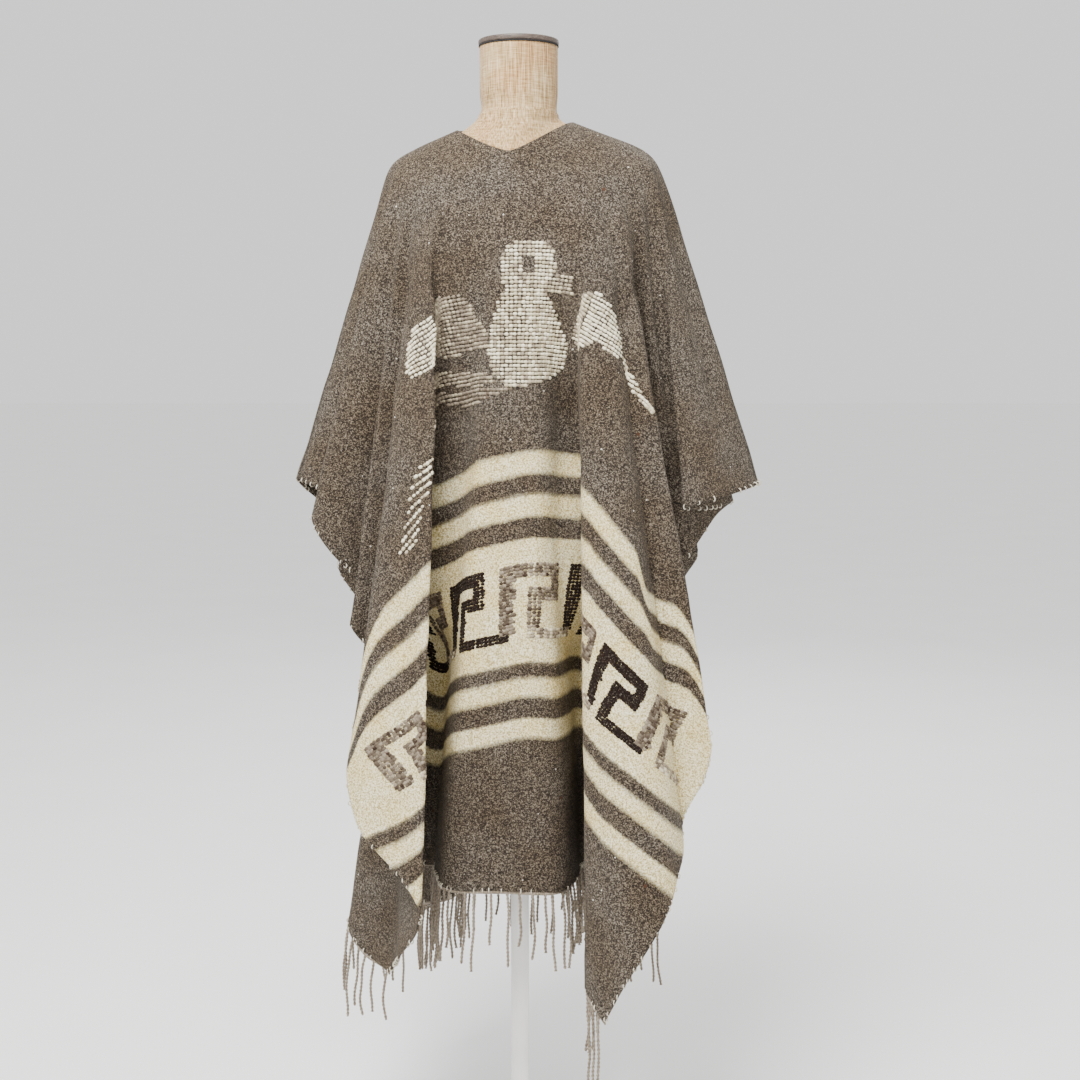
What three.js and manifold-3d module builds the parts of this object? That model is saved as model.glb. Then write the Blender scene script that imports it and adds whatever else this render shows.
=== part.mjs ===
// A heavy wool poncho, one woven rectangle with a lengthwise neck slit, hanging on a
// limbless dress form that stands on a pole and a round plate. Millimetres, +Z up,
// the front faces -Y, and the origin is the middle of the plate's underside.
//
// The cloth is worked out as straight threads that fan out from the neck slit. Each one
// lies over the shoulders as far as a bearing line, then hangs to the cloth's edge. The
// fold table says where that edge point hangs in plan, and the height comes from the
// length of cloth between, so the woven length is kept.

import * as THREE from 'three';
import { mergeVertices } from 'three/addons/utils/BufferGeometryUtils.js';
import Module from 'manifold-3d';

const wasm = await Module();
wasm.setup();

// Cloth as woven
const CLOTH_HALF_WIDTH = 625;
const FRONT_LENGTH = 1060;
const BACK_LENGTH = 1120;
const CLOTH_WALL = 3;
const SEAM_GAP = 0.3;

// Neck slit, open on the form: half width, and its reach down the front and the back
const SLIT_HALF_WIDTH = 47;
const SLIT_FRONT = 95;
const SLIT_BACK = 60;

// Bearing line, where the cloth leaves the shoulders: measured on the cloth
const BEARING_HALF_WIDTH = 165;
const BEARING_FRONT = 190;
const BEARING_BACK = 150;
const SIDE_BEND = 12;
const CHEST_BEND = 26;

// The same two lines in space: the neckline round the form's neck, and the shoulders
const NECKLINE = { halfWidth: 76, front: 75, back: 58, sideZ: 1405 };
const SHOULDER = { halfWidth: 175, front: 113, back: 104, sideZ: 1366 };

// Places round the cloth's edge, from the middle of the front hem
const AT_CORNER = CLOTH_HALF_WIDTH;
const AT_SHOULDER = AT_CORNER + FRONT_LENGTH;
const AT_BACK_CORNER = AT_SHOULDER + BACK_LENGTH;
const AT_BACK_HEM = AT_BACK_CORNER + CLOTH_HALF_WIDTH;

// Dress form, pole and plate
const NECK_RADIUS = 51.5;
const NECK_SEAM_Z = 1420;
const NECK_TOP_Z = 1508;
const CAP_RADIUS = 53;
const CAP_TOP_Z = 1517;
const POLE_RADIUS = 12.5;
const PLATE_RADIUS = 170;
const PLATE_THICKNESS = 8;
const FORM_SIDES = 32;
const ROUND_SIDES = 40;

// Torso sections of the form, from the bottom up: half width and half depth
const TORSO = [
  { place: 'bottom edge', z: 800, halfWidth: 138, halfDepth: 94 },
  { place: 'hip', z: 860, halfWidth: 143, halfDepth: 98 },
  { place: 'waist', z: 1030, halfWidth: 116, halfDepth: 86 },
  { place: 'ribs', z: 1120, halfWidth: 134, halfDepth: 104 },
  { place: 'bust', z: 1200, halfWidth: 143, halfDepth: 114 },
  { place: 'upper chest', z: 1245, halfWidth: 148, halfDepth: 108 },
  { place: 'armhole', z: 1320, halfWidth: 160, halfDepth: 95 },
];

// Shoulder sections of the form: how far along the cloth's thread from the slit, and how
// far the form's skin lies under the cloth's inner face there
const SHOULDERS = [
  { along: 115, under: 8 },
  { along: 85, under: 2.5 },
  { along: 55, under: 0.8 },
  { along: 28, under: 0.8 },
  { along: 11, under: 1.2 },
  { along: -6, under: 1.8 },
];

// Folds on the right, from the middle of the front hem round to the back hem.
// at: place on the edge. x, y: where that edge point hangs. slack: cloth taken up in
// small ripples on the way. off: how far the layer lies off the torso.
const RIGHT_FOLDS = [
  { place: 'hem centre', at: 0, x: -20, y: -135, slack: 0, off: 5 },
  { place: 'panel edge', at: 85, x: 47, y: -132, slack: 0, off: 5 },
  { place: 'tuck', at: 185, x: 76, y: -75, slack: 10, off: 5 },
  { place: 'tuck depth', at: 250, x: 86, y: 0, slack: 10, off: 5 },
  { place: 'valley', at: 305, x: 102, y: 30, slack: 10, off: 9 },
  { place: 'tuck return', at: 370, x: 122, y: 0, slack: 10, off: 16 },
  { place: 'under layer', at: 450, x: 112, y: -85, slack: 10, off: 22 },
  { place: 'flap edge', at: 550, x: 88, y: -195, slack: 10, off: 28 },
  { place: 'front corner', at: 625, x: 110, y: -232, slack: 12, off: 28 },
  { place: 'second crest', at: 852, x: 205, y: -195, slack: 0, off: 24 },
  { place: 'dip', at: 900, x: 212, y: -150, slack: 0, off: 20 },
  { place: 'edge below key', at: 925, x: 214, y: -150, slack: 0, off: 20 },
  { place: 'edge at key', at: 985, x: 240, y: -150, slack: 0, off: 20 },
  { place: 'third crest', at: 1078, x: 245, y: -145, slack: 0, off: 20 },
  { place: 'third valley', at: 1210, x: 185, y: -15, slack: 0, off: 8 },
  { place: 'side panel start', at: 1355, x: 228, y: -62, slack: 40, off: 8 },
  { place: 'side panel', at: 1405, x: 262, y: -27, slack: 50, off: 8 },
  { place: 'side turn', at: 1450, x: 290, y: 2, slack: 40, off: 8 },
  { place: 'side return', at: 1505, x: 258, y: -50, slack: 25, off: 8 },
  { place: 'sleeve fold', at: 1560, x: 216, y: -90, slack: 13, off: 8 },
  { place: 'sleeve panel', at: 1635, x: 285, y: -48, slack: 5, off: 8 },
  { place: 'shoulder line', at: 1685, x: 324, y: 0, slack: 0, off: 8 },
  { place: 'back of sleeve', at: 1760, x: 294, y: 64, slack: 0, off: 8 },
  { place: 'back valley', at: 1880, x: 200, y: 30, slack: 0, off: 8 },
  { place: 'back crest', at: 2020, x: 254, y: 126, slack: 0, off: 8 },
  { place: 'second back valley', at: 2180, x: 164, y: 34, slack: 0, off: 8 },
  { place: 'second back crest', at: 2400, x: 240, y: 158, slack: 0, off: 14 },
  { place: 'back dip', at: 2560, x: 174, y: 84, slack: 10, off: 20 },
  { place: 'back rise', at: 2680, x: 214, y: 128, slack: 10, off: 24 },
  { place: 'back corner', at: 2805, x: 206, y: 174, slack: 20, off: 26 },
  { place: 'back flap edge', at: 2930, x: 132, y: 220, slack: 5, off: 28 },
  { place: 'back under layer', at: 3040, x: 146, y: 120, slack: 5, off: 20 },
  { place: 'third back valley', at: 3140, x: 98, y: 58, slack: 10, off: 9 },
  { place: 'back tuck', at: 3235, x: 84, y: 104, slack: 5, off: 5 },
  { place: 'back panel edge', at: 3330, x: 70, y: 148, slack: 0, off: 6 },
  { place: 'back hem centre', at: 3430, x: 0, y: 128, slack: 0, off: 5 },
];

// Folds on the left, in the same order, without the two hem centres
const LEFT_FOLDS = [
  { place: 'panel edge', at: 70, x: -86, y: -130, slack: 0, off: 5 },
  { place: 'tuck', at: 180, x: -110, y: -72, slack: 10, off: 5 },
  { place: 'tuck depth', at: 250, x: -116, y: -12, slack: 10, off: 5 },
  { place: 'valley', at: 330, x: -122, y: 30, slack: 20, off: 9 },
  { place: 'inner layer turn', at: 420, x: -185, y: 55, slack: 20, off: 16 },
  { place: 'inner layer', at: 500, x: -238, y: 0, slack: 5, off: 18 },
  { place: 'inner layer end', at: 570, x: -215, y: -30, slack: 5, off: 20 },
  { place: 'front corner', at: 625, x: -177, y: -60, slack: 20, off: 22 },
  { place: 'corner turn', at: 705, x: -158, y: -135, slack: 0, off: 28 },
  { place: 'first crest', at: 805, x: -125, y: -205, slack: 0, off: 30 },
  { place: 'edge at last stripe', at: 826, x: -133, y: -200, slack: 0, off: 28 },
  { place: 'edge below key', at: 925, x: -208, y: -160, slack: 0, off: 24 },
  { place: 'edge at key', at: 995, x: -220, y: -140, slack: 0, off: 20 },
  { place: 'edge above key', at: 1085, x: -206, y: -110, slack: 15, off: 16 },
  { place: 'second crest', at: 1110, x: -200, y: -110, slack: 15, off: 16 },
  { place: 'second valley', at: 1180, x: -184, y: -76, slack: 10, off: 8 },
  { place: 'small crest', at: 1265, x: -220, y: -80, slack: 10, off: 8 },
  { place: 'small valley', at: 1310, x: -200, y: -48, slack: 10, off: 8 },
  { place: 'side panel start', at: 1365, x: -212, y: -50, slack: 5, off: 8 },
  { place: 'side panel', at: 1425, x: -248, y: -65, slack: 10, off: 8 },
  { place: 'side crest', at: 1475, x: -274, y: -60, slack: 25, off: 8 },
  { place: 'side valley', at: 1570, x: -215, y: 5, slack: 20, off: 8 },
  { place: 'sleeve panel', at: 1645, x: -268, y: -22, slack: 20, off: 8 },
  { place: 'shoulder line', at: 1685, x: -297, y: 0, slack: 20, off: 8 },
  { place: 'back of sleeve', at: 1760, x: -284, y: 58, slack: 0, off: 8 },
  { place: 'back valley', at: 1890, x: -196, y: 28, slack: 0, off: 8 },
  { place: 'back crest', at: 2040, x: -260, y: 116, slack: 0, off: 8 },
  { place: 'second back valley', at: 2200, x: -168, y: 32, slack: 0, off: 8 },
  { place: 'second back crest', at: 2420, x: -246, y: 144, slack: 0, off: 14 },
  { place: 'back dip', at: 2590, x: -168, y: 76, slack: 10, off: 20 },
  { place: 'back rise', at: 2700, x: -212, y: 118, slack: 10, off: 24 },
  { place: 'back corner', at: 2805, x: -208, y: 166, slack: 20, off: 26 },
  { place: 'back flap edge', at: 2930, x: -132, y: 220, slack: 5, off: 28 },
  { place: 'back under layer', at: 3040, x: -146, y: 118, slack: 5, off: 20 },
  { place: 'third back valley', at: 3140, x: -96, y: 58, slack: 10, off: 9 },
  { place: 'back tuck', at: 3235, x: -82, y: 104, slack: 5, off: 5 },
  { place: 'back panel edge', at: 3330, x: -72, y: 146, slack: 0, off: 6 },
];

// How finely each half of the cloth is cut into facets
const FRONT_NET = { step: 60, rows: 19 };
const BACK_NET = { step: 72, rows: 17 };
const ROW_CROWDING = 1.35;

// Fringe: warp ends left long at the hems
const STRAND_SPACING = 20;
const STRAND_RADIUS = 1.9;
const STRANDS_APART = 6;
const STRAND_SWAY = 5;
const STRAND_SHORTEST = 70;
const STRAND_LONGEST = 118;
const STRAND_SIDES = 3;
const FRINGE_STRIP = 4;
const FRINGE_GAP = 0.5;

// The left folds run backwards round the edge, so that the whole ring is one table
const FOLDS = [
  { ...RIGHT_FOLDS[RIGHT_FOLDS.length - 1], at: -AT_BACK_HEM },
  ...LEFT_FOLDS.map((fold) => ({ ...fold, at: -fold.at })).reverse(),
  ...RIGHT_FOLDS,
];

const clamp = (value, low, high) => Math.min(Math.max(value, low), high);
const softplus = (value) => (value > 30 ? value : Math.log1p(Math.exp(value)));

function edgeOnCloth(at) {
  const side = Math.sign(at);
  const a = Math.abs(at);
  if (a < AT_CORNER) return { u: at, v: FRONT_LENGTH };
  if (a < AT_BACK_CORNER) return { u: side * CLOTH_HALF_WIDTH, v: AT_SHOULDER - a };
  return { u: side * (AT_BACK_HEM - a), v: -BACK_LENGTH };
}

// Smooth value of one column of the fold table at any place on the edge
function foldValue(column, at) {
  const last = FOLDS.length - 1;
  const round = 2 * AT_BACK_HEM;
  const place = (i) => {
    if (i < 0) return { at: FOLDS[last + i].at - round, value: FOLDS[last + i][column] };
    if (i > last) return { at: FOLDS[i - last].at + round, value: FOLDS[i - last][column] };
    return { at: FOLDS[i].at, value: FOLDS[i][column] };
  };
  let i = 0;
  while (i < last - 1 && FOLDS[i + 1].at <= at) i += 1;
  const [p0, p1, p2, p3] = [place(i - 1), place(i), place(i + 1), place(i + 2)];
  const slope = (a, b) => (b.value - a.value) / (b.at - a.at);
  const tangent = (a, b, c) =>
    (slope(a, b) * (c.at - b.at) + slope(b, c) * (b.at - a.at)) / (c.at - a.at);
  const h = p2.at - p1.at;
  const s = (at - p1.at) / h;
  const m1 = tangent(p0, p1, p2);
  const m2 = tangent(p1, p2, p3);
  return (2 * s ** 3 - 3 * s ** 2 + 1) * p1.value + (s ** 3 - 2 * s ** 2 + s) * h * m1
    + (-2 * s ** 3 + 3 * s ** 2) * p2.value + (s ** 3 - s ** 2) * h * m2;
}

// Half width and half depth of the torso at a height
function torsoAt(z) {
  const level = clamp(z, TORSO[0].z, TORSO[TORSO.length - 1].z);
  let i = 0;
  while (i < TORSO.length - 2 && TORSO[i + 1].z < level) i += 1;
  const t = (level - TORSO[i].z) / (TORSO[i + 1].z - TORSO[i].z);
  return {
    halfWidth: THREE.MathUtils.lerp(TORSO[i].halfWidth, TORSO[i + 1].halfWidth, t),
    halfDepth: THREE.MathUtils.lerp(TORSO[i].halfDepth, TORSO[i + 1].halfDepth, t),
  };
}

// One thread of the fan: from the slit, over the bearing line, to the edge
function threadAt(at) {
  const edge = edgeOnCloth(at);
  const turn = Math.atan2(edge.u, edge.v);
  const across = Math.sin(turn);
  const along = Math.cos(turn);
  const front = Math.max(along, 0);
  const back = Math.max(-along, 0);
  const side = Math.abs(across);
  const round = across * (0.3 + 0.7 * side ** 0.8);
  const slit = { u: SLIT_HALF_WIDTH * round, v: (along > 0 ? SLIT_FRONT : SLIT_BACK) * along };
  const bearing = {
    u: BEARING_HALF_WIDTH * across,
    v: (along > 0 ? BEARING_FRONT : BEARING_BACK) * along,
  };
  const neck = new THREE.Vector3(
    NECKLINE.halfWidth * round - 4 * side - 9 * front,
    NECKLINE.back * back - NECKLINE.front * front,
    NECKLINE.sideZ + 5 * across - 39 * front ** 2 + 6 * back,
  );
  const shoulder = new THREE.Vector3(
    SHOULDER.halfWidth * across + 6 * side - 5 * front,
    SHOULDER.back * back ** 0.8 - SHOULDER.front * front ** 0.8,
    SHOULDER.sideZ + 5 * across - 86 * front ** 1.4 - 34 * back ** 1.4,
  );
  const onForm = Math.hypot(bearing.u - slit.u, bearing.v - slit.v);
  const hanging = Math.hypot(edge.u - bearing.u, edge.v - bearing.v);
  const x = foldValue('x', at);
  const y = foldValue('y', at);
  const reach = hanging - foldValue('slack', at);
  const drop = Math.sqrt(Math.max(reach ** 2 - (x - shoulder.x) ** 2 - (y - shoulder.y) ** 2, 1));
  const hem = new THREE.Vector3(x, y, shoulder.z - drop);
  const bend = THREE.MathUtils.lerp(CHEST_BEND, SIDE_BEND, side);
  return { neck, shoulder, hem, onForm, hanging, bend, off: foldValue('off', at) };
}

// Keeps a point of the cloth off the torso by the layer's own distance
function clearOfTorso(point, off) {
  const { halfWidth, halfDepth } = torsoAt(point.z);
  const r = Math.hypot(point.x / (halfWidth + off), point.y / (halfDepth + off)) + 1e-6;
  if (r > 1.6) return point;
  const blend = 0.05;
  const pushed = blend * (r > 1 ? r / blend + softplus((1 - r) / blend)
    : 1 / blend + softplus((r - 1) / blend));
  const below = THREE.MathUtils.smoothstep(point.z, 700, 800);
  const above = clamp((1300 - point.z) / 60, 0, 1);
  const scale = 1 + (pushed / r - 1) * below * above;
  point.x *= scale;
  point.y *= scale;
  return point;
}

// Point of the cloth's middle plane: place on the edge, and share of the way from the slit
function clothPoint(at, share) {
  const t = threadAt(at);
  const d = (t.onForm + t.hanging) * share;
  const bend = (value) => t.bend * softplus(value / t.bend);
  const start = bend(-t.onForm);
  const hung = (bend(d - t.onForm) - start) * (t.hanging / (bend(t.hanging) - start));
  const point = t.neck.clone();
  point.addScaledVector(t.shoulder.clone().sub(t.neck), (d - hung) / t.onForm);
  point.addScaledVector(t.hem.clone().sub(t.shoulder), hung / t.hanging);
  return clearOfTorso(point, t.off);
}

// Direction out of the cloth's face
function clothOut(at, share) {
  const step = 2;
  const low = clamp(share, 0.004, 1) - 0.004;
  const high = clamp(share, 0, 0.996) + 0.004;
  const round = clothPoint(at + step, share).sub(clothPoint(at - step, share));
  const down = clothPoint(at, high).sub(clothPoint(at, low));
  return down.cross(round).normalize();
}

// A closed mesh from loops of points, with its ends and edges closed by strips
function wallFromNet(outer, inner) {
  const columns = outer.length;
  const rows = outer[0].length;
  const positions = [];
  const index = [];
  for (const net of [outer, inner]) {
    for (const column of net) {
      for (const p of column) positions.push(p.x, p.y, p.z);
    }
  }
  const a = (c, r) => c * rows + r;
  const b = (c, r) => columns * rows + c * rows + r;
  const quad = (p, q, r, s) => index.push(p, q, r, p, r, s);
  for (let c = 0; c < columns - 1; c += 1) {
    for (let r = 0; r < rows - 1; r += 1) {
      quad(a(c, r), a(c, r + 1), a(c + 1, r + 1), a(c + 1, r));
      quad(b(c, r), b(c + 1, r), b(c + 1, r + 1), b(c, r + 1));
    }
    quad(a(c, 0), a(c + 1, 0), b(c + 1, 0), b(c, 0));
    quad(a(c, rows - 1), b(c, rows - 1), b(c + 1, rows - 1), a(c + 1, rows - 1));
  }
  for (let r = 0; r < rows - 1; r += 1) {
    quad(a(0, r), b(0, r), b(0, r + 1), a(0, r + 1));
    quad(a(columns - 1, r), a(columns - 1, r + 1), b(columns - 1, r + 1), b(columns - 1, r));
  }
  const geometry = new THREE.BufferGeometry();
  geometry.setAttribute('position', new THREE.Float32BufferAttribute(positions, 3));
  geometry.setIndex(index);
  return geometry;
}

// Places of the net's columns: on every fold and evenly between
function columnPlaces(from, to, step) {
  const round = 2 * AT_BACK_HEM;
  const stops = [...FOLDS.slice(1), ...FOLDS.slice(1).map((f) => ({ ...f, at: f.at + round }))]
    .map((fold) => fold.at)
    .filter((at) => at > from && at < to);
  const places = [from];
  for (const stop of [...stops, to]) {
    const start = places[places.length - 1];
    const parts = Math.max(1, Math.round((stop - start) / step + 0.35));
    for (let i = 1; i <= parts; i += 1) places.push(start + ((stop - start) * i) / parts);
  }
  return places;
}

const wrapped = (at) => (at > AT_BACK_HEM ? at - 2 * AT_BACK_HEM : at);

// One half of the cloth. Its two end columns stop just short of the shoulder line's plane.
function clothHalf(from, to, net, endY) {
  const places = columnPlaces(from, to, net.step);
  const outer = [];
  const inner = [];
  places.forEach((place, c) => {
    const at = wrapped(place);
    const isEnd = c === 0 || c === places.length - 1;
    outer.push([]);
    inner.push([]);
    for (let r = 0; r <= net.rows; r += 1) {
      const share = (r / net.rows) ** ROW_CROWDING;
      const middle = clothPoint(at, share);
      const out = clothOut(at, share).multiplyScalar(CLOTH_WALL / 2);
      const front = middle.clone().add(out);
      const behind = middle.clone().sub(out);
      if (isEnd) {
        front.y = endY;
        behind.y = endY;
      }
      outer[c].push(front);
      inner[c].push(behind);
    }
  });
  return wallFromNet(outer, inner);
}

function toManifold(geometry) {
  const bare = geometry.clone();
  bare.deleteAttribute('normal');
  bare.deleteAttribute('uv');
  const merged = mergeVertices(bare, 1e-4);
  return new wasm.Manifold(new wasm.Mesh({
    numProp: 3,
    vertProperties: Float32Array.from(merged.attributes.position.array),
    triVerts: Uint32Array.from(merged.index.array),
  }));
}

function fromManifold(solid) {
  const mesh = solid.getMesh();
  const geometry = new THREE.BufferGeometry();
  const points = [];
  for (let i = 0; i < mesh.vertProperties.length; i += mesh.numProp) {
    points.push(...mesh.vertProperties.slice(i, i + 3));
  }
  geometry.setAttribute('position', new THREE.Float32BufferAttribute(points, 3));
  geometry.setIndex(Array.from(mesh.triVerts));
  return geometry;
}

// A repeatable scatter between 0 and 1
function scatter(index, salt) {
  const value = Math.sin(index * 12.9898 + salt * 78.233) * 43758.5453;
  return value - Math.floor(value);
}

// The centre line of one strand: it leaves along the cloth, then hangs
function strandLine(root, away, length, index) {
  const sway = new THREE.Vector3(scatter(index, 3) - 0.5, scatter(index, 4) - 0.5, 0);
  const middle = root.clone().addScaledVector(away, length * 0.45);
  const end = root.clone().addScaledVector(away, length * 0.6);
  end.z = root.z - length;
  return [root, middle.addScaledVector(sway, STRAND_SWAY), end];
}

// One twisted strand round its centre line, thinner at its end
function strand(line) {
  const rings = line.map((centre, k) => {
    const radius = STRAND_RADIUS * [1, 0.95, 0.7][k];
    return Array.from({ length: STRAND_SIDES }, (_, i) => {
      const turn = (i / STRAND_SIDES + k * 0.1) * 2 * Math.PI;
      return new THREE.Vector3(radius * Math.cos(turn), radius * Math.sin(turn), 0).add(centre);
    });
  });
  return loft(rings.reverse());
}

// A closed loft through rings of equally many points, each ring turning anticlockwise
// seen from above, from the lowest ring to the highest
function loft(rings) {
  const sides = rings[0].length;
  const positions = [];
  const index = [];
  for (const ring of rings) {
    for (const p of ring) positions.push(p.x, p.y, p.z);
  }
  for (let k = 0; k < rings.length - 1; k += 1) {
    for (let i = 0; i < sides; i += 1) {
      const j = (i + 1) % sides;
      const low = k * sides;
      const high = low + sides;
      index.push(low + i, low + j, high + j, low + i, high + j, high + i);
    }
  }
  const top = (rings.length - 1) * sides;
  for (let i = 1; i < sides - 1; i += 1) {
    index.push(0, i + 1, i);
    index.push(top, top + i, top + i + 1);
  }
  const geometry = new THREE.BufferGeometry();
  geometry.setAttribute('position', new THREE.Float32BufferAttribute(positions, 3));
  geometry.setIndex(index);
  return geometry;
}

// A hem's fringe: a narrow strip just past the cloth's edge, with the strands fused in
function fringe(from, to, net, salt) {
  const places = columnPlaces(from, to, net.step);
  const outer = [];
  const inner = [];
  const runOut = (at) => clothPoint(at, 1).sub(clothPoint(at, 0.99)).normalize();
  for (const place of places) {
    const at = wrapped(place);
    const edge = clothPoint(at, 1);
    const away = runOut(at);
    const out = clothOut(at, 1).multiplyScalar(CLOTH_WALL / 2);
    const top = edge.clone().addScaledVector(away, FRINGE_GAP);
    const bottom = edge.clone().addScaledVector(away, FRINGE_GAP + FRINGE_STRIP);
    outer.push([top.clone().add(out), bottom.clone().add(out)]);
    inner.push([top.clone().sub(out), bottom.clone().sub(out)]);
  }
  let solid = toManifold(wallFromNet(outer, inner));
  const count = Math.floor((to - from) / STRAND_SPACING);
  const kept = [];
  for (let i = 0; i < count; i += 1) {
    const jitter = (scatter(i, salt) - 0.5) * 0.55;
    const place = from + STRAND_SPACING * (i + 0.5 + jitter);
    const column = places.findIndex((p) => p > place);
    const t = (place - places[column - 1]) / (places[column] - places[column - 1]);
    const corners = [outer, inner].flatMap((net2) => [net2[column - 1], net2[column]]);
    const middle = (k) => new THREE.Vector3()
      .addScaledVector(corners[0][k].clone().add(corners[2][k]), (1 - t) / 2)
      .addScaledVector(corners[1][k].clone().add(corners[3][k]), t / 2);
    const root = middle(0).lerp(middle(1), 0.55);
    const away = runOut(wrapped(place));
    const length = THREE.MathUtils.lerp(STRAND_SHORTEST, STRAND_LONGEST, scatter(i, salt + 1));
    const line = strandLine(root, away, length, i + salt * 100);
    const touches = kept.some((other) => line.some((point, k) => point.distanceTo(other[k])
      < STRANDS_APART));
    if (touches) continue;
    kept.push(line);
    solid = solid.add(toManifold(strand(line)));
  }
  return fromManifold(solid);
}

// Form: torso sections, shoulder sections under the cloth, then the neck
function formBody() {
  const rings = [];
  const turns = Array.from({ length: FORM_SIDES }, (_, i) => (i / FORM_SIDES) * 2 * Math.PI);
  for (const section of TORSO.filter((s) => s.z < 1250)) {
    rings.push(turns.map((turn) => new THREE.Vector3(
      section.halfWidth * Math.sin(turn),
      -section.halfDepth * Math.cos(turn),
      section.z,
    )));
  }
  const placeOfTurn = (turn) => {
    const signed = turn > Math.PI ? turn - 2 * Math.PI : turn;
    const u = Math.sin(signed);
    const v = Math.cos(signed);
    const length = v > 0 ? FRONT_LENGTH : BACK_LENGTH;
    const toSide = CLOTH_HALF_WIDTH / Math.max(Math.abs(u), 1e-9);
    const toHem = length / Math.max(Math.abs(v), 1e-9);
    const side = Math.sign(u) || 1;
    if (toSide < toHem) return side * (AT_SHOULDER - v * toSide);
    if (v > 0) return u * toHem;
    return side * (AT_BACK_HEM - Math.abs(u) * toHem);
  };
  for (const section of SHOULDERS) {
    rings.push(turns.map((turn) => {
      const at = placeOfTurn(turn);
      const t = threadAt(at);
      const share = section.along / (t.onForm + t.hanging);
      const depth = CLOTH_WALL / 2 + section.under;
      return clothPoint(at, share).addScaledVector(clothOut(at, share), -depth);
    }));
  }
  for (const z of [NECK_SEAM_Z, NECK_TOP_Z]) {
    rings.push(turns.map((turn) => new THREE.Vector3(
      NECK_RADIUS * Math.sin(turn),
      -NECK_RADIUS * Math.cos(turn),
      z,
    )));
  }
  return loft(rings);
}

function upright(radiusLow, radiusHigh, from, to) {
  const geometry = new THREE.CylinderGeometry(radiusHigh, radiusLow, to - from, ROUND_SIDES);
  geometry.rotateX(Math.PI / 2);
  geometry.translate(0, 0, (from + to) / 2);
  return geometry;
}

const wool = new THREE.MeshStandardMaterial({ color: 0x6b6055, roughness: 0.95 });
const linen = new THREE.MeshStandardMaterial({ color: 0xd8cbb4, roughness: 0.9 });
const darkWood = new THREE.MeshStandardMaterial({ color: 0x4a3d35, roughness: 0.5 });
const whiteSteel = new THREE.MeshStandardMaterial({ color: 0xe8e6e0, roughness: 0.4, metalness: 0.1 });

const part = new THREE.Group();

function addPiece(name, geometry, material) {
  const piece = new THREE.Mesh(geometry, material);
  piece.name = name;
  part.add(piece);
}

const round = 2 * AT_BACK_HEM;
addPiece('poncho_front', clothHalf(-AT_SHOULDER, AT_SHOULDER, FRONT_NET, -SEAM_GAP / 2), wool);
addPiece('poncho_back', clothHalf(AT_SHOULDER, round - AT_SHOULDER, BACK_NET, SEAM_GAP / 2), wool);
addPiece('fringe_front', fringe(-AT_CORNER, AT_CORNER, FRONT_NET, 1), wool);
addPiece('fringe_back', fringe(AT_BACK_CORNER, round - AT_BACK_CORNER, BACK_NET, 2), wool);
addPiece('form_body', formBody(), linen);
addPiece('neck_cap', upright(CAP_RADIUS, CAP_RADIUS, NECK_TOP_Z + SEAM_GAP, CAP_TOP_Z), darkWood);
addPiece('pole', upright(
  POLE_RADIUS, POLE_RADIUS, PLATE_THICKNESS + SEAM_GAP, TORSO[0].z - SEAM_GAP,
), whiteSteel);
addPiece('base_plate', upright(PLATE_RADIUS, PLATE_RADIUS, 0, PLATE_THICKNESS), whiteSteel);

export default part;
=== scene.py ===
import math
from collections import namedtuple

import bpy
import numpy as np
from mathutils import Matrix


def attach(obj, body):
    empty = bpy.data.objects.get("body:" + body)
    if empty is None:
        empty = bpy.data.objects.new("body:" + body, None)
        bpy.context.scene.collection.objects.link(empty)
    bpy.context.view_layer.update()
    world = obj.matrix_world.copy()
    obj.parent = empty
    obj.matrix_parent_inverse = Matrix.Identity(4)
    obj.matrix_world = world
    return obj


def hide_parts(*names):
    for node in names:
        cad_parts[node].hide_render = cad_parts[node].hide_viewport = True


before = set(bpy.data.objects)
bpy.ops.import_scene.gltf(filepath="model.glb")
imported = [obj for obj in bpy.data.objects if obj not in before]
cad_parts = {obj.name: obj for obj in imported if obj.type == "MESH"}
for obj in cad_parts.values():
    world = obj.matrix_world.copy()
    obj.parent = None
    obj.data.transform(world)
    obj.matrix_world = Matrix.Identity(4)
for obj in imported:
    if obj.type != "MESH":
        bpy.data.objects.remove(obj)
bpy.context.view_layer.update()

# The camera stands a little over two metres off at chest height and looks slightly down,
# as the picture was taken.
CAMERA_PLACE = (0.028, -2.240, 1.120)
CAMERA_TIP = math.radians(83.3)
SENSOR_WIDTH = 36.0
LENS = 55.33


def new_object(name, data):
    """Puts an object with this data in the scene."""
    made = bpy.data.objects.new(name, data)
    bpy.context.scene.collection.objects.link(made)
    return made


camera_data = bpy.data.cameras.new("camera")
camera_data.sensor_width = SENSOR_WIDTH
camera_data.lens = LENS
camera = new_object("camera", camera_data)
camera.location = CAMERA_PLACE
camera.rotation_euler = (CAMERA_TIP, 0, 0)
bpy.context.scene.camera = camera

# The poncho is one heavy wool cloth, woven as a rectangle with a lengthwise slit for the
# head. It is fulled undyed yarn, brown heather with cream weft stripes. It hangs over the
# form's shoulders as two halves, and its own length and weight make the folds.
MM = 0.001
CLOTH_HALF_WIDTH = 625
FRONT_LENGTH = 1060
BACK_LENGTH = 1120
CLOTH_WALL = 3.0
EDGE_ROUNDING = 1.1
EDGE_RIPPLE = 1.6
SLIT_HALF_WIDTH = 47
SLIT_FRONT = 95
SLIT_BACK = 60
BEARING_HALF_WIDTH = 165
BEARING_FRONT = 190
BEARING_BACK = 150
SIDE_BEND = 12
CHEST_BEND = 26
NECKLINE = {"half_width": 76, "front": 75, "back": 58, "side_z": 1405}
SHOULDER = {"half_width": 175, "front": 113, "back": 104, "side_z": 1366}

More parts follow.
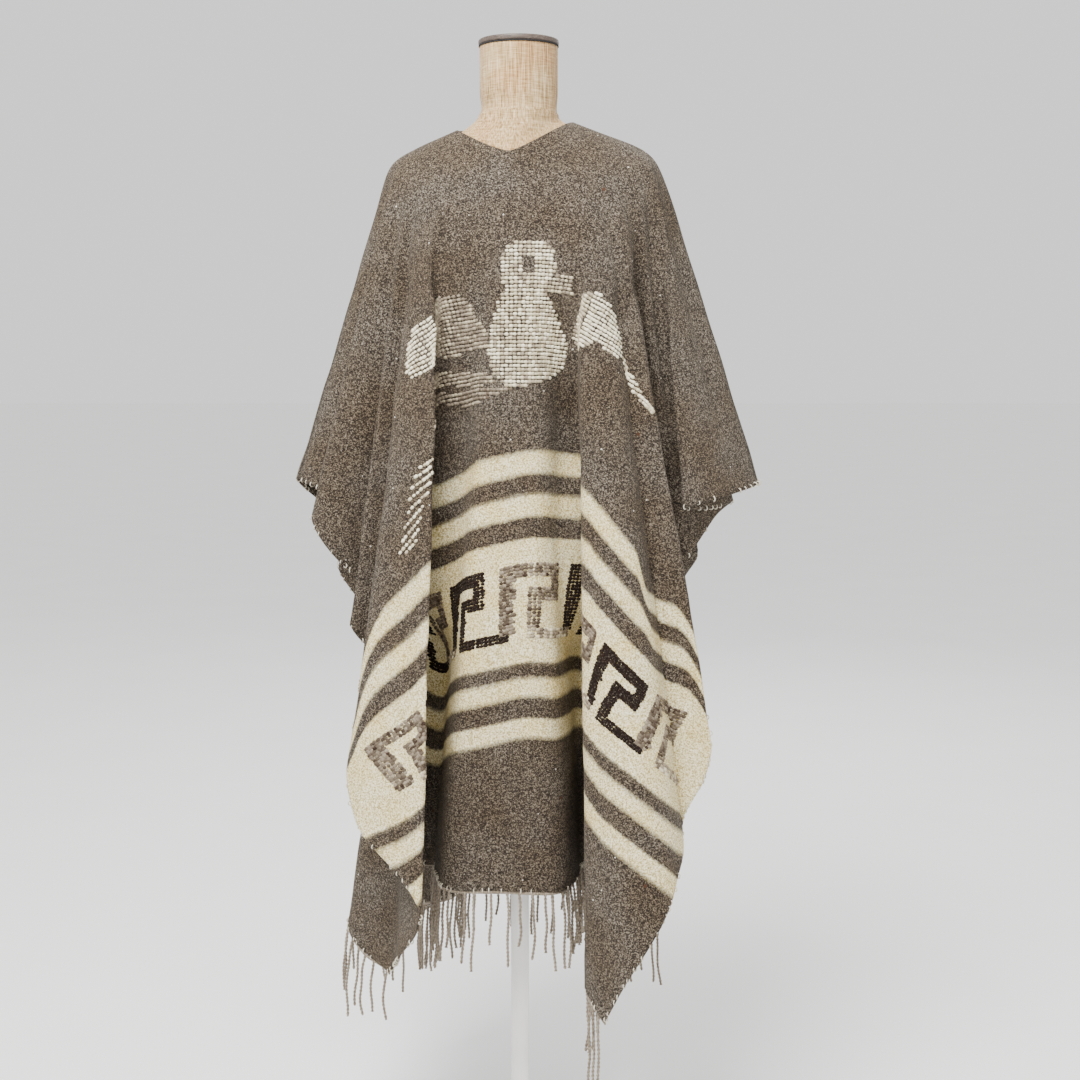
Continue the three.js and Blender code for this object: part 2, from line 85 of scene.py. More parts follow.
# Places round the cloth's edge, from the middle of the front hem
AT_CORNER = CLOTH_HALF_WIDTH
AT_SHOULDER = AT_CORNER + FRONT_LENGTH
AT_BACK_CORNER = AT_SHOULDER + BACK_LENGTH
AT_BACK_HEM = AT_BACK_CORNER + CLOTH_HALF_WIDTH

# Torso sections of the form: height, half width and half depth
TORSO_Z = [800, 860, 1030, 1120, 1200, 1245, 1320]
TORSO_HALF_WIDTH = [138, 143, 116, 134, 143, 148, 160]
TORSO_HALF_DEPTH = [94, 98, 86, 104, 114, 108, 95]
TORSO_BLEND = 0.05

# Folds on the right, from the middle of the front hem round to the back hem.
# at: place on the edge. x, y: where that edge point hangs. slack: cloth taken up in
# small ripples on the way. off: how far the layer lies off the torso.
Fold = namedtuple("Fold", "place at x y slack off")
RIGHT_FOLDS = [
    Fold("hem centre", 0, -20, -135, 0, 5),
    Fold("panel edge", 85, 47, -132, 0, 5),
    Fold("tuck", 185, 76, -75, 10, 5),
    Fold("tuck depth", 250, 86, 0, 10, 5),
    Fold("valley", 305, 102, 30, 10, 9),
    Fold("tuck return", 370, 122, 0, 10, 16),
    Fold("under layer", 450, 112, -85, 10, 22),
    Fold("flap edge", 550, 88, -195, 10, 28),
    Fold("front corner", 625, 110, -232, 12, 28),
    Fold("second crest", 852, 205, -195, 0, 24),
    Fold("dip", 900, 212, -150, 0, 20),
    Fold("edge below key", 925, 214, -150, 0, 20),
    Fold("edge at key", 985, 240, -150, 0, 20),
    Fold("third crest", 1078, 245, -145, 0, 20),
    Fold("third valley", 1210, 185, -15, 0, 8),
    Fold("side panel start", 1355, 228, -62, 40, 8),
    Fold("side panel", 1405, 262, -27, 50, 8),
    Fold("side turn", 1450, 290, 2, 40, 8),
    Fold("side return", 1505, 258, -50, 25, 8),
    Fold("sleeve fold", 1560, 216, -90, 13, 8),
    Fold("sleeve panel", 1635, 285, -48, 5, 8),
    Fold("shoulder line", 1685, 324, 0, 0, 8),
    Fold("back of sleeve", 1760, 294, 64, 0, 8),
    Fold("back valley", 1880, 200, 30, 0, 8),
    Fold("back crest", 2020, 254, 126, 0, 8),
    Fold("second back valley", 2180, 164, 34, 0, 8),
    Fold("second back crest", 2400, 240, 158, 0, 14),
    Fold("back dip", 2560, 174, 84, 10, 20),
    Fold("back rise", 2680, 214, 128, 10, 24),
    Fold("back corner", 2805, 206, 174, 20, 26),
    Fold("back flap edge", 2930, 132, 220, 5, 28),
    Fold("back under layer", 3040, 146, 120, 5, 20),
    Fold("third back valley", 3140, 98, 58, 10, 9),
    Fold("back tuck", 3235, 84, 104, 5, 5),
    Fold("back panel edge", 3330, 70, 148, 0, 6),
    Fold("back hem centre", 3430, 0, 128, 0, 5),
]

# Folds on the left, in the same order, without the two hem centres
LEFT_FOLDS = [
    Fold("panel edge", 70, -86, -130, 0, 5),
    Fold("tuck", 180, -110, -72, 10, 5),
    Fold("tuck depth", 250, -116, -12, 10, 5),
    Fold("valley", 330, -122, 30, 20, 9),
    Fold("inner layer turn", 420, -185, 55, 20, 16),
    Fold("inner layer", 500, -238, 0, 5, 18),
    Fold("inner layer end", 570, -215, -30, 5, 20),
    Fold("front corner", 625, -177, -60, 20, 22),
    Fold("corner turn", 705, -158, -135, 0, 28),
    Fold("first crest", 805, -125, -205, 0, 30),
    Fold("edge at last stripe", 826, -133, -200, 0, 28),
    Fold("edge below key", 925, -208, -160, 0, 24),
    Fold("edge at key", 995, -220, -140, 0, 20),
    Fold("edge above key", 1085, -206, -110, 15, 16),
    Fold("second crest", 1110, -200, -110, 15, 16),
    Fold("second valley", 1180, -184, -76, 10, 8),
    Fold("small crest", 1265, -220, -80, 10, 8),
    Fold("small valley", 1310, -200, -48, 10, 8),
    Fold("side panel start", 1365, -212, -50, 5, 8),
    Fold("side panel", 1425, -248, -65, 10, 8),
    Fold("side crest", 1475, -274, -60, 25, 8),
    Fold("side valley", 1570, -215, 5, 20, 8),
    Fold("sleeve panel", 1645, -268, -22, 20, 8),
    Fold("shoulder line", 1685, -297, 0, 20, 8),
    Fold("back of sleeve", 1760, -284, 58, 0, 8),
    Fold("back valley", 1890, -196, 28, 0, 8),
    Fold("back crest", 2040, -260, 116, 0, 8),
    Fold("second back valley", 2200, -168, 32, 0, 8),
    Fold("second back crest", 2420, -246, 144, 0, 14),
    Fold("back dip", 2590, -168, 76, 10, 20),
    Fold("back rise", 2700, -212, 118, 10, 24),
    Fold("back corner", 2805, -208, 166, 20, 26),
    Fold("back flap edge", 2930, -132, 220, 5, 28),
    Fold("back under layer", 3040, -146, 118, 5, 20),
    Fold("third back valley", 3140, -96, 58, 10, 9),
    Fold("back tuck", 3235, -82, 104, 5, 5),
    Fold("back panel edge", 3330, -72, 146, 0, 6),
]
FOLDS = [RIGHT_FOLDS[-1]._replace(at=-AT_BACK_HEM)]
FOLDS += [fold._replace(at=-fold.at) for fold in reversed(LEFT_FOLDS)] + RIGHT_FOLDS


def smoothstep(value, low, high):
    t = np.clip((value - low) / (high - low), 0, 1)
    return t * t * (3 - 2 * t)


def on_curve(s, step, before, after, slope_before, slope_after):
    """A value at a share s of the way along one step of a smooth curve."""
    return ((2 * s**3 - 3 * s**2 + 1) * before + (s**3 - 2 * s**2 + s) * step * slope_before
            + (3 * s**2 - 2 * s**3) * after + (s**3 - s**2) * step * slope_after)


def fold_value(column, at):
    """Smooth value of one column of the fold table at any places on the edge."""
    places = np.array([fold.at for fold in FOLDS], float)
    values = np.array([getattr(fold, column) for fold in FOLDS], float)
    steps = np.diff(places)
    slopes = np.diff(values) / steps
    step_before = np.concatenate([steps[-1:], steps])
    step_after = np.concatenate([steps, steps[:1]])
    slope_before = np.concatenate([slopes[-1:], slopes])
    slope_after = np.concatenate([slopes, slopes[:1]])
    tangents = slope_before * step_after + slope_after * step_before
    tangents /= step_before + step_after
    i = np.clip(np.searchsorted(places, at, side="right") - 1, 0, len(places) - 2)
    return on_curve((at - places[i]) / steps[i], steps[i], values[i], values[i + 1],
                    tangents[i], tangents[i + 1])


def cloth_at(at, share):
    """Middle of the cloth's wall in space, and its flat place, in millimetres.

    at is the place on the edge where the thread ends, and share the part of the way
    there from the neck slit.
    """
    at = np.where(at > AT_BACK_HEM, at - 2 * AT_BACK_HEM, at)
    at, share = np.broadcast_arrays(at, share)
    a = np.abs(at)
    sign = np.sign(at)
    edge_u = sign * np.where(a < AT_BACK_CORNER, np.minimum(a, CLOTH_HALF_WIDTH),
                             AT_BACK_HEM - a)
    edge_v = np.clip(AT_SHOULDER - a, -BACK_LENGTH, FRONT_LENGTH)
    turn = np.arctan2(edge_u, edge_v)
    across, along = np.sin(turn), np.cos(turn)
    front, back, side = np.maximum(along, 0), np.maximum(-along, 0), np.abs(across)
    roundness = across * (0.3 + 0.7 * side**0.8)
    slit_u = SLIT_HALF_WIDTH * roundness
    slit_v = np.where(along > 0, SLIT_FRONT, SLIT_BACK) * along
    bearing_u = BEARING_HALF_WIDTH * across
    bearing_v = np.where(along > 0, BEARING_FRONT, BEARING_BACK) * along
    neck = np.stack([
        NECKLINE["half_width"] * roundness - 4 * side - 9 * front,
        NECKLINE["back"] * back - NECKLINE["front"] * front,
        NECKLINE["side_z"] + 5 * across - 39 * front**2 + 6 * back,
    ], -1)
    shoulder = np.stack([
        SHOULDER["half_width"] * across + 6 * side - 5 * front,
        SHOULDER["back"] * back**0.8 - SHOULDER["front"] * front**0.8,
        SHOULDER["side_z"] + 5 * across - 86 * front**1.4 - 34 * back**1.4,
    ], -1)
    on_form = np.hypot(bearing_u - slit_u, bearing_v - slit_v)
    hanging = np.hypot(edge_u - bearing_u, edge_v - bearing_v)
    x, y = fold_value("x", at), fold_value("y", at)
    reach = hanging - fold_value("slack", at)
    drop = np.sqrt(np.maximum(
        reach**2 - (x - shoulder[..., 0])**2 - (y - shoulder[..., 1])**2, 1))
    hem = np.stack([x, y, shoulder[..., 2] - drop], -1)
    bend = CHEST_BEND + (SIDE_BEND - CHEST_BEND) * side

    d = (on_form + hanging) * share
    start = bend * np.logaddexp(0, -on_form / bend)
    hung = bend * np.logaddexp(0, (d - on_form) / bend) - start
    hung *= hanging / (bend * np.logaddexp(0, hanging / bend) - start)
    point = neck + (shoulder - neck) * ((d - hung) / on_form)[..., None]
    point = point + (hem - shoulder) * (hung / hanging)[..., None]

    on_bearing = np.clip(d / on_form, 0, 1)
    on_hanging = np.clip((d - on_form) / hanging, 0, 1)
    u = slit_u + (bearing_u - slit_u) * on_bearing + (edge_u - bearing_u) * on_hanging
    v = slit_v + (bearing_v - slit_v) * on_bearing + (edge_v - bearing_v) * on_hanging
    return clear_of_torso(point, fold_value("off", at)), u, v


def clear_of_torso(point, off):
    """Keeps points of the cloth off the torso by the layer's own distance."""
    z = point[..., 2]
    half_width = np.interp(z, TORSO_Z, TORSO_HALF_WIDTH) + off
    half_depth = np.interp(z, TORSO_Z, TORSO_HALF_DEPTH) + off
    r = np.hypot(point[..., 0] / half_width, point[..., 1] / half_depth) + 1e-6
    pushed = TORSO_BLEND * np.logaddexp(1 / TORSO_BLEND, r / TORSO_BLEND)
    near = smoothstep(z, 700, 800) * np.clip((1300 - z) / 60, 0, 1) * (r <= 1.6)
    scale = 1 + (pushed / r - 1) * near
    return point * np.stack([scale, scale, np.ones_like(scale)], -1)


# How the front's stripes and keys lie on the worn cloth. Hung on the bias, each part has
# slipped by its own amount, so the pattern is placed by the slope of its thread from the
# neck: place across over place down.
PANEL_START = 12
PANEL_SLOPE = 0.21
PANEL_BEND = 14
PANEL_RIDGE = (40, 38, 5)
LEFT_SLIP, LEFT_SLIP_GROWTH = 38, 260
RIGHT_SLIP, RIGHT_SLIP_LOST = 30, 22
SLIP_BEHIND_FOLD = 45
KEY_SLOPES = [-0.90, -0.50, -0.26, -0.20, -0.04, 0.03, 0.16, 0.20, 0.55, 0.90]
KEY_SHIFTS = [-20, -20, 30, 30, 0, 0, -36, -42, -17, -17]

# Lengths down the cloth over which the slip comes in, the keys' shift comes in, and both end
SLIP_STARTS = (400, 520)
SHIFT_STARTS = (540, 620)
SLIP_ENDS = (880, 1050)


def pattern_place(u, v):
    """Flat place of the woven pattern on the front's worn cloth."""
    slope = u / np.maximum(v, 200)
    place, width, lift = PANEL_RIDGE
    panel = PANEL_SLOPE * PANEL_BEND * np.logaddexp(0, (PANEL_START - u) / PANEL_BEND)
    panel = panel - lift * np.exp(-((u - place) / width)**2)
    panel = panel * (1 - smoothstep(-slope, 0.30, 0.45))
    left = LEFT_SLIP + LEFT_SLIP_GROWTH * np.maximum(-slope - 0.72, 0)
    left = left * smoothstep(-slope, 0.38, 0.58) * (1 - 0.7 * smoothstep(v, 640, 800))
    right = RIGHT_SLIP * smoothstep(slope, 0.54, 0.72)
    right = right - RIGHT_SLIP_LOST * smoothstep(slope, 0.72, 0.90)
    right = right * (1 - 0.65 * smoothstep(v, 620, 760))
    behind = SLIP_BEHIND_FOLD * smoothstep(slope, 0.70, 0.735) * (1 - smoothstep(v, 500, 660))
    started = smoothstep(v, *SLIP_STARTS)
    ended = 1 - smoothstep(v, *SLIP_ENDS)
    shift = np.interp(slope, KEY_SLOPES, KEY_SHIFTS) * smoothstep(v, *SHIFT_STARTS) * ended
    return u + shift, v - (panel + left + right + behind) * started * ended


WAVE_HEIGHT = 0.55

# Soft creases pressed into the cloth: place across and along, length, turn from the thread
# in degrees, width and depth. A negative depth is a ridge.
CREASES = [
    (-150, 150, 150, 20, 26, 3.0),
    (-105, 235, 180, 8, 20, -2.5),
    (110, 190, 220, -12, 24, 3.5),
    (165, 260, 260, -8, 20, -2.5),
    (210, 230, 200, -20, 18, 3.0),
    (340, 186, 320, 61, 13, 14.0),
    (352, 158, 320, 61, 15, -6.0),
    (400, 30, 380, 87, 11, 7.0),
    (-250, 215, 300, -50, 16, 3.5),
    (-230, 260, 260, 18, 24, 3.0),
    (-300, 330, 200, 25, 22, -2.5),
    (300, 420, 260, -10, 22, 3.0),
    (-20, 520, 240, 2, 30, 2.0),
    (35, 640, 320, 1, 16, -3.0),
    (-60, 860, 260, -4, 22, -2.5),
    (15, 930, 200, 6, 20, 2.5),
    (430, 560, 220, -8, 24, -2.5),
    (-440, 600, 240, 8, 22, 2.5),
    (-520, 300, 200, 12, 20, -2.0),
    (520, 280, 220, -14, 22, 2.0),
    (-120, -240, 240, -10, 26, 3.0),
    (90, -210, 200, 8, 24, -2.5),
    (20, -480, 320, 2, 30, 2.5),
    (-220, -420, 260, -12, 24, -2.5),
    (240, -380, 280, 10, 24, 3.0),
    (60, -820, 300, -3, 26, -2.5),
    (-80, -900, 240, 5, 22, 2.5),
    (-430, -520, 240, -8, 24, 2.5),
    (450, -600, 260, 9, 24, -2.5),
]


def relief(u, v):
    """How far the cloth's face lies off its smooth form: slow waves and the creases."""
    waves = (0.9 * np.sin(u / 31 + 1.7 * np.sin(v / 83)) * np.sin(v / 57 + 0.6)
             + 0.7 * np.sin(u / 17 + v / 49) + 0.6 * np.sin(v / 23 - u / 71)
             + 0.45 * np.sin(u / 9.5 + 2 * np.sin(v / 40)) * np.sin(v / 13))
    height = waves * WAVE_HEIGHT
    for at_u, at_v, length, turn, width, depth in CREASES:
        c, s = math.cos(math.radians(turn)), math.sin(math.radians(turn))
        lengthwise = (v - at_v) * c + (u - at_u) * s
        sideways = (u - at_u) * c - (v - at_v) * s
        height = height - depth * np.exp(-(2 * lengthwise / length)**2 - (sideways / width)**2)
    return height


def unit(vectors):
    return vectors / np.maximum(np.linalg.norm(vectors, axis=-1, keepdims=True), 1e-9)


CLOTH_COLUMNS = 300
CLOTH_ROWS = 155
ROW_CROWDING = 1.25


def cloth_net(start, end, columns=CLOTH_COLUMNS, rows=CLOTH_ROWS):
    """Grid of one cloth half: middle points, outward normals and pattern places."""
    at = np.linspace(start, end, columns)[:, None]
    share = np.linspace(0, 1, rows)[None, :]**ROW_CROWDING
    middle, u, v = cloth_at(at, share)
    out = unit(np.cross(np.gradient(middle, axis=1), np.gradient(middle, axis=0)))
    edge = smoothstep(share, 0.9, 1.0)
    ripple = EDGE_RIPPLE * np.sin(at / 19 + 2 * np.sin(at / 47)) * edge
    middle = middle + out * (relief(u, v) + ripple)[..., None]
    return middle, out, np.stack(pattern_place(u, v), -1)


def mesh_object(name, points, faces=(), edges=(), uv=None):
    """A mesh object in metres from points in millimetres, with the pattern as its UV map."""
    mesh = bpy.data.meshes.new(name)
    mesh.from_pydata((np.asarray(points) * MM).tolist(), edges, faces)
    if uv is not None:
        loops = np.empty(len(mesh.loops), np.int32)
        mesh.loops.foreach_get("vertex_index", loops)
        layer = mesh.uv_layers.new(name="pattern")
        layer.data.foreach_set("uv", (np.asarray(uv)[loops] * MM).astype(np.float32).ravel())
    mesh.shade_smooth()
    mesh.update()
    return new_object(name, mesh)


def net_quads(columns, rows):
    c, r = np.meshgrid(np.arange(columns - 1), np.arange(rows - 1), indexing="ij")
    a = (c * rows + r).ravel()
    return np.stack([a, a + 1, a + rows + 1, a + rows], -1)


def net_border(columns, rows):
    """Indices round the border of a net, once round."""
    first = np.arange(rows)
    bottom = np.arange(1, columns) * rows + rows - 1
    last = (columns - 1) * rows + np.arange(rows - 2, -1, -1)
    top = np.arange(columns - 2, 0, -1) * rows
    return np.concatenate([first, bottom, last, top])


def cloth_wall(name, middle, out, pattern):
    """A closed wall of fulled cloth with a softly rounded edge."""
    columns, rows = middle.shape[:2]
    out = out.copy()
    out[[0, -1], :, 1] = 0
    out = unit(out)
    half = out * CLOTH_WALL / 2
    down = unit(np.gradient(middle, axis=1))
    edge_way = np.zeros_like(middle)
    edge_way[:, 0] = -down[:, 0]
    edge_way[:, -1] = down[:, -1]
    edge_way[[0, -1]] = 0
    flat = middle.reshape(-1, 3)
    border = net_border(columns, rows)
    rim = flat[border] + edge_way.reshape(-1, 3)[border] * EDGE_ROUNDING
    vertices = np.concatenate([flat + half.reshape(-1, 3), flat - half.reshape(-1, 3), rim])
    places = pattern.reshape(-1, 2)
    uv = np.concatenate([places, places, places[border]])
    count = columns * rows
    quads = net_quads(columns, rows)
    here, there = border, np.roll(border, -1)
    rim_here = 2 * count + np.arange(len(border))
    rim_there = np.roll(rim_here, -1)
    faces = np.concatenate([
        quads,
        quads[:, ::-1] + count,
        np.stack([there, here, rim_here, rim_there], -1),
        np.stack([rim_there, rim_here, here + count, there + count], -1),
    ])
    return mesh_object(name, vertices, faces.tolist(), uv=uv)


def linear(hex_colour):
    """An sRGB hex colour as linear RGBA."""
    parts = [int(hex_colour[i:i + 2], 16) / 255 for i in (1, 3, 5)]
    return [p / 12.92 if p <= 0.04045 else ((p + 0.055) / 1.055)**2.4 for p in parts] + [1]


def add(tree, kind, *values, stops=(), **named):
    """Adds one node. A shader node's kind goes without its prefix.

    Values fill its inputs in turn, a name with a capital fills the input so called, and the
    other names are its settings. A value is a number, a hex colour, a socket, or a node,
    whose first live output is meant. Stops are a colour ramp's.
    """
    new = tree.nodes.new(kind if "Node" in kind else "ShaderNode" + kind)
    for name, value in named.items():
        if name.islower():
            setattr(new, name, value)
    filled = list(zip(new.inputs, values))
    for name, value in named.items():
        if not name.islower():
            title = name.replace("_", " ")
            filled.append((next(s for s in new.inputs
                                if s.enabled and title in (s.name, s.identifier)), value))
    for socket, value in filled:
        if isinstance(value, bpy.types.Node):
            value = next(s for s in value.outputs if s.enabled)
        if isinstance(value, bpy.types.NodeSocket):
            tree.links.new(value, socket)
        else:
            is_colour = isinstance(value, str) and value.startswith("#")
            socket.default_value = linear(value) if is_colour else value
    if stops:
        elements = new.color_ramp.elements
        for element, (place, colour) in zip(elements, (stops[0], stops[-1])):
            element.position, element.color = place, linear(colour)
        for place, colour in stops[1:-1]:
            elements.new(place).color = linear(colour)
    return new


def every(size_mm):
    """Scale of a pattern whose features lie about so many millimetres apart."""
    return 1 / (size_mm * MM)


def new_material(name):
    """An empty node material; returns it, its tree and the place on the object."""
    material = bpy.data.materials.new(name)
    material.use_nodes = True
    tree = material.node_tree
    tree.nodes.clear()
    return material, tree, add(tree, "TexCoord").outputs["Object"]


def surfaced(material, colour, bump=None, **looks):
    """Gives a material its colour and looks, and bumps: strength, depth and height."""
    tree = material.node_tree
    if bump:
        looks["Normal"] = add(tree, "Bump", **dict(zip(("Strength", "Distance", "Height"), bump)))
    add(tree, "OutputMaterial", add(tree, "BsdfPrincipled", Base_Color=colour, **looks))
    return material


# Cream bands of the weft, measured from the shoulder line, in millimetres
CREAM_BANDS = [(488, 516), (544, 571), (600, 760), (781, 805), (834, 859)]
BAND_FEATHER = 2.0
BAND_WANDER = 7.0
PICK_SPACING = 3.6

# Flecks in the heather: spacing in millimetres, radius and share of the cells, and shade
HEATHER_FLECKS = [(6.0, 0.12, 0.25, "#9c9081"), (23.0, 0.05, 0.6, "#dcd5c5"),
                  (13.0, 0.12, 0.35, "#1d1612"), (47.0, 0.05, 0.45, "#4a2f20")]
CREAM_FLECKS = [(21.0, 0.045, 0.4, "#a89878")]


def flecked(tree, place, colour, flecks):
    """Small specks over a colour: cells of which only a share holds a speck."""
    for spacing, radius, share, shade in flecks:
        cells = add(tree, "TexVoronoi", Vector=place, Scale=every(spacing), Randomness=1.0)
        near = add(tree, "Math", cells.outputs["Distance"], radius, operation="LESS_THAN")
        chosen = add(tree, "SeparateColor", cells.outputs["Color"])
        chosen = add(tree, "Math", chosen, share, operation="LESS_THAN")
        fleck = add(tree, "Math", near, chosen, operation="MULTIPLY")
        colour = add(tree, "Mix", Factor=fleck, A=colour, B=shade, data_type="RGBA")
    return colour


def fulled_wool():
    """Fulled wool, undyed: blended brown and grey fibres with a short raised nap.

    The heather shows as fine mixed specks, with cream slubs and a few dark or russet
    burrs, and the felted cream bands have feathered edges and a matt, faintly yellow face.
    """
    material, tree, place = new_material("fulled_wool")
    pattern = add(tree, "UVMap", uv_map="pattern")

    # each fibre tuft takes its own shade, and fine noise breaks the tufts up
    push = add(tree, "TexNoise", Vector=place, Scale=every(1.8)).outputs["Color"]
    push = add(tree, "VectorMath", push, Scale=0.8 * MM, operation="SCALE")
    tuft = add(tree, "TexVoronoi", Vector=add(tree, "VectorMath", place, push),
               Scale=every(1.15)).outputs["Color"]
    fibre = add(tree, "TexNoise", Vector=place, Scale=every(2.2), Detail=3.0, Roughness=0.8)
    shade = add(tree, "Math", add(tree, "SeparateColor", tuft), 0.5, fibre,
                operation="MULTIPLY_ADD")
    heather = add(tree, "ValToRGB", shade, stops=[
        (0.42, "#110e0b"), (0.58, "#29231e"), (0.72, "#3b332b"), (0.84, "#574d43"),
        (0.97, "#8c8273")])

    # clouds from uneven blending, and faint streaks down the warp
    cloud = add(tree, "TexNoise", Vector=place, Scale=every(90), Detail=3.0)
    drawn = add(tree, "Mapping", Vector=place, Scale=(1.0, 1.0, 0.06))
    streak = add(tree, "TexNoise", Vector=drawn, Scale=every(7.0), Detail=2.0)
    for amount, tint in ((add(tree, "MapRange", cloud, 0.38, 0.62), "#e6dccf"),
                         (add(tree, "Math", streak, 0.3, operation="MULTIPLY"), "#bcb2a8")):
        heather = add(tree, "Mix", Factor=amount, A=heather, B=tint, data_type="RGBA",
                      blend_type="MULTIPLY")
    heather = flecked(tree, place, heather, HEATHER_FLECKS)

    tangle = add(tree, "TexNoise", Vector=place, Scale=every(2.1), Detail=3.0, Roughness=0.8)
    cream = add(tree, "ValToRGB", tangle, stops=[
        (0.38, "#9d8a55"), (0.47, "#d6c48e"), (0.53, "#f4e6b8"), (0.61, "#fffae0")])
    patch = add(tree, "TexNoise", Vector=place, Scale=every(45), Detail=3.0)
    cream = add(tree, "Mix", Factor=add(tree, "MapRange", patch, 0.4, 0.7), A=cream,
                B="#faf2dc", data_type="RGBA", blend_type="MULTIPLY")
    cream = flecked(tree, place, cream, CREAM_FLECKS)

    # the bands lie across the cloth, with edges that the fulling has feathered
    down = add(tree, "Math", add(tree, "SeparateXYZ", pattern).outputs["Y"],
               operation="ABSOLUTE")
    wander = add(tree, "TexNoise", Vector=place, Scale=every(5.0), Detail=3.0, Roughness=0.7)
    wander = add(tree, "Math", wander, 0.5, operation="SUBTRACT")
    down = add(tree, "Math", wander, BAND_WANDER * MM, down, operation="MULTIPLY_ADD")
    stops = []
    for edges in CREAM_BANDS:
        for edge, (before, after) in zip(edges, (("#000000", "#ffffff"), ("#ffffff", "#000000"))):
            stops += [((edge - BAND_FEATHER) * MM, before), ((edge + BAND_FEATHER) * MM, after)]
    colour = add(tree, "Mix", Factor=add(tree, "ValToRGB", down, stops=stops), A=heather,
                 B=cream, data_type="RGBA")

    nap = add(tree, "TexNoise", Vector=place, Scale=every(1.4), Detail=4.0, Roughness=0.8)
    felt = add(tree, "TexNoise", Vector=place, Scale=every(6.0), Detail=3.0, Roughness=0.6)
    rib = add(tree, "TexWave", Vector=pattern, Scale=every(PICK_SPACING) / math.pi,
              Distortion=2.5, Detail=2.0, wave_type="BANDS", bands_direction="Y")
    height = add(tree, "Math", felt, 0.9, nap, operation="MULTIPLY_ADD")
    height = add(tree, "Math", rib, 0.12, height, operation="MULTIPLY_ADD")
    return surfaced(material, colour, Roughness=0.95, Specular_IOR_Level=0.15,
                    Sheen_Weight=0.1, Sheen_Roughness=0.6, Sheen_Tint="#d8cdbb",
                    bump=(0.9, 0.0022, height))


wool = fulled_wool()
front_net = cloth_net(-AT_SHOULDER, AT_SHOULDER)
back_net = cloth_net(AT_SHOULDER, 2 * AT_BACK_HEM - AT_SHOULDER)
for node_name, net, length in [("poncho_front", front_net, FRONT_LENGTH),
                               ("poncho_back", back_net, BACK_LENGTH)]:
    cloth = cloth_wall(node_name + "_cloth", *net)
    cloth.data.materials.append(wool)
    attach(cloth, "root")
    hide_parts(node_name)

# The key band and the bird are inlaid in the weft by hand: thick soft yarn passed over a few
# warps at a time, so each row shows as a line of short, slightly raised stitches with the
# ground between them. The chart gives the shapes flat; Geometry Nodes lay the stitches.
KEY_UNIT = 95
KEY_START = -12
KEY_TOP = 630
DARK, GREY, FAINT = 0.0, 0.44, 0.68
KEY_GREY_UNITS = (-6, -4, -2, 0, 2, 3, 5)

# Bars of one key unit: across from, across to, down from, down to
KEY_BARS = {
    "left upright": (0, 21, 8, 92),
    "top bar": (0, 78, 0, 17),
    "right upright": (64, 78, 0, 46),
    "middle bar": (36, 78, 32, 48),
    "inner upright": (36, 52, 32, 88),
    "bottom bar": (36, 108, 84, 101),
}

# The bird, as outlines on the flat cloth, each with its yarn's paleness
BIRD = [
    ("head left of eye", 0.85, [(-4, 222), (14, 218), (14, 280), (-4, 280), (-14, 268),
                                (-17, 250), (-12, 232)]),
    ("head over eye", 0.85, [(14, 217), (26, 217), (26, 238), (14, 238)]),
    ("head under eye", 0.75, [(14, 258), (26, 258), (26, 281), (14, 281)]),
    ("head right of eye", 0.9, [(26, 217), (42, 219), (52, 229), (58, 245), (55, 264),
                                (45, 281), (26, 281)]),
    ("beak", 0.7, [(46, 262), (80, 260), (83, 282), (46, 284)]),
    ("body", 0.85, [(-10, 280), (45, 280), (60, 300), (76, 322), (90, 350), (94, 374),
                    (80, 388), (40, 399), (-4, 404), (-24, 390), (-34, 356), (-28, 328),
                    (-20, 300)]),
    ("left wing inner", 0.6, [(-84, 280), (-68, 292), (-56, 318), (-36, 338), (-38, 354),
                              (-66, 352), (-118, 358), (-150, 346), (-174, 312), (-172, 276),
                              (-130, 272)]),
    ("left wing outer", 1.0, [(-182, 270), (-214, 268), (-238, 284), (-256, 312),
                              (-246, 324), (-212, 324), (-184, 312)]),
    ("right wing inner", 0.75, [(92, 334), (106, 300), (122, 270), (142, 262), (146, 338),
                                (104, 346)]),
    ("right wing outer", 1.0, [(150, 260), (172, 262), (200, 273), (220, 296), (230, 314),
                               (206, 322), (190, 312), (150, 334)]),
    ("right wing feather", 0.9, [(222, 306), (242, 312), (280, 330), (322, 336), (318, 344),
                                 (276, 340), (240, 324)]),
    ("tail upper", 0.6, [(-36, 384), (-20, 396), (-60, 404), (-120, 396), (-200, 378),
                         (-236, 368), (-232, 352), (-170, 364), (-100, 380)]),
    ("tail lower", 0.55, [(-30, 402), (10, 404), (-46, 420), (-90, 426), (-150, 414),
                          (-226, 402), (-262, 388), (-250, 376), (-190, 390), (-120, 404)]),
    ("tail feather", 0.95, [(-284, 416), (-300, 412), (-352, 436), (-386, 451), (-374, 461),
                            (-340, 446), (-300, 431)]),
]


def chart_object(name, shapes):
    """A flat chart: polygons, each with its yarn's paleness as a face value."""
    points, faces = [], []
    for _, outline in shapes:
        faces.append(list(range(len(points), len(points) + len(outline))))
        points += [(u, v, 0) for u, v in outline]
    chart = mesh_object(name, points, faces)
    layer = chart.data.attributes.new("paleness", "FLOAT", "FACE")
    layer.data.foreach_set("value", [paleness for paleness, _ in shapes])
    return chart


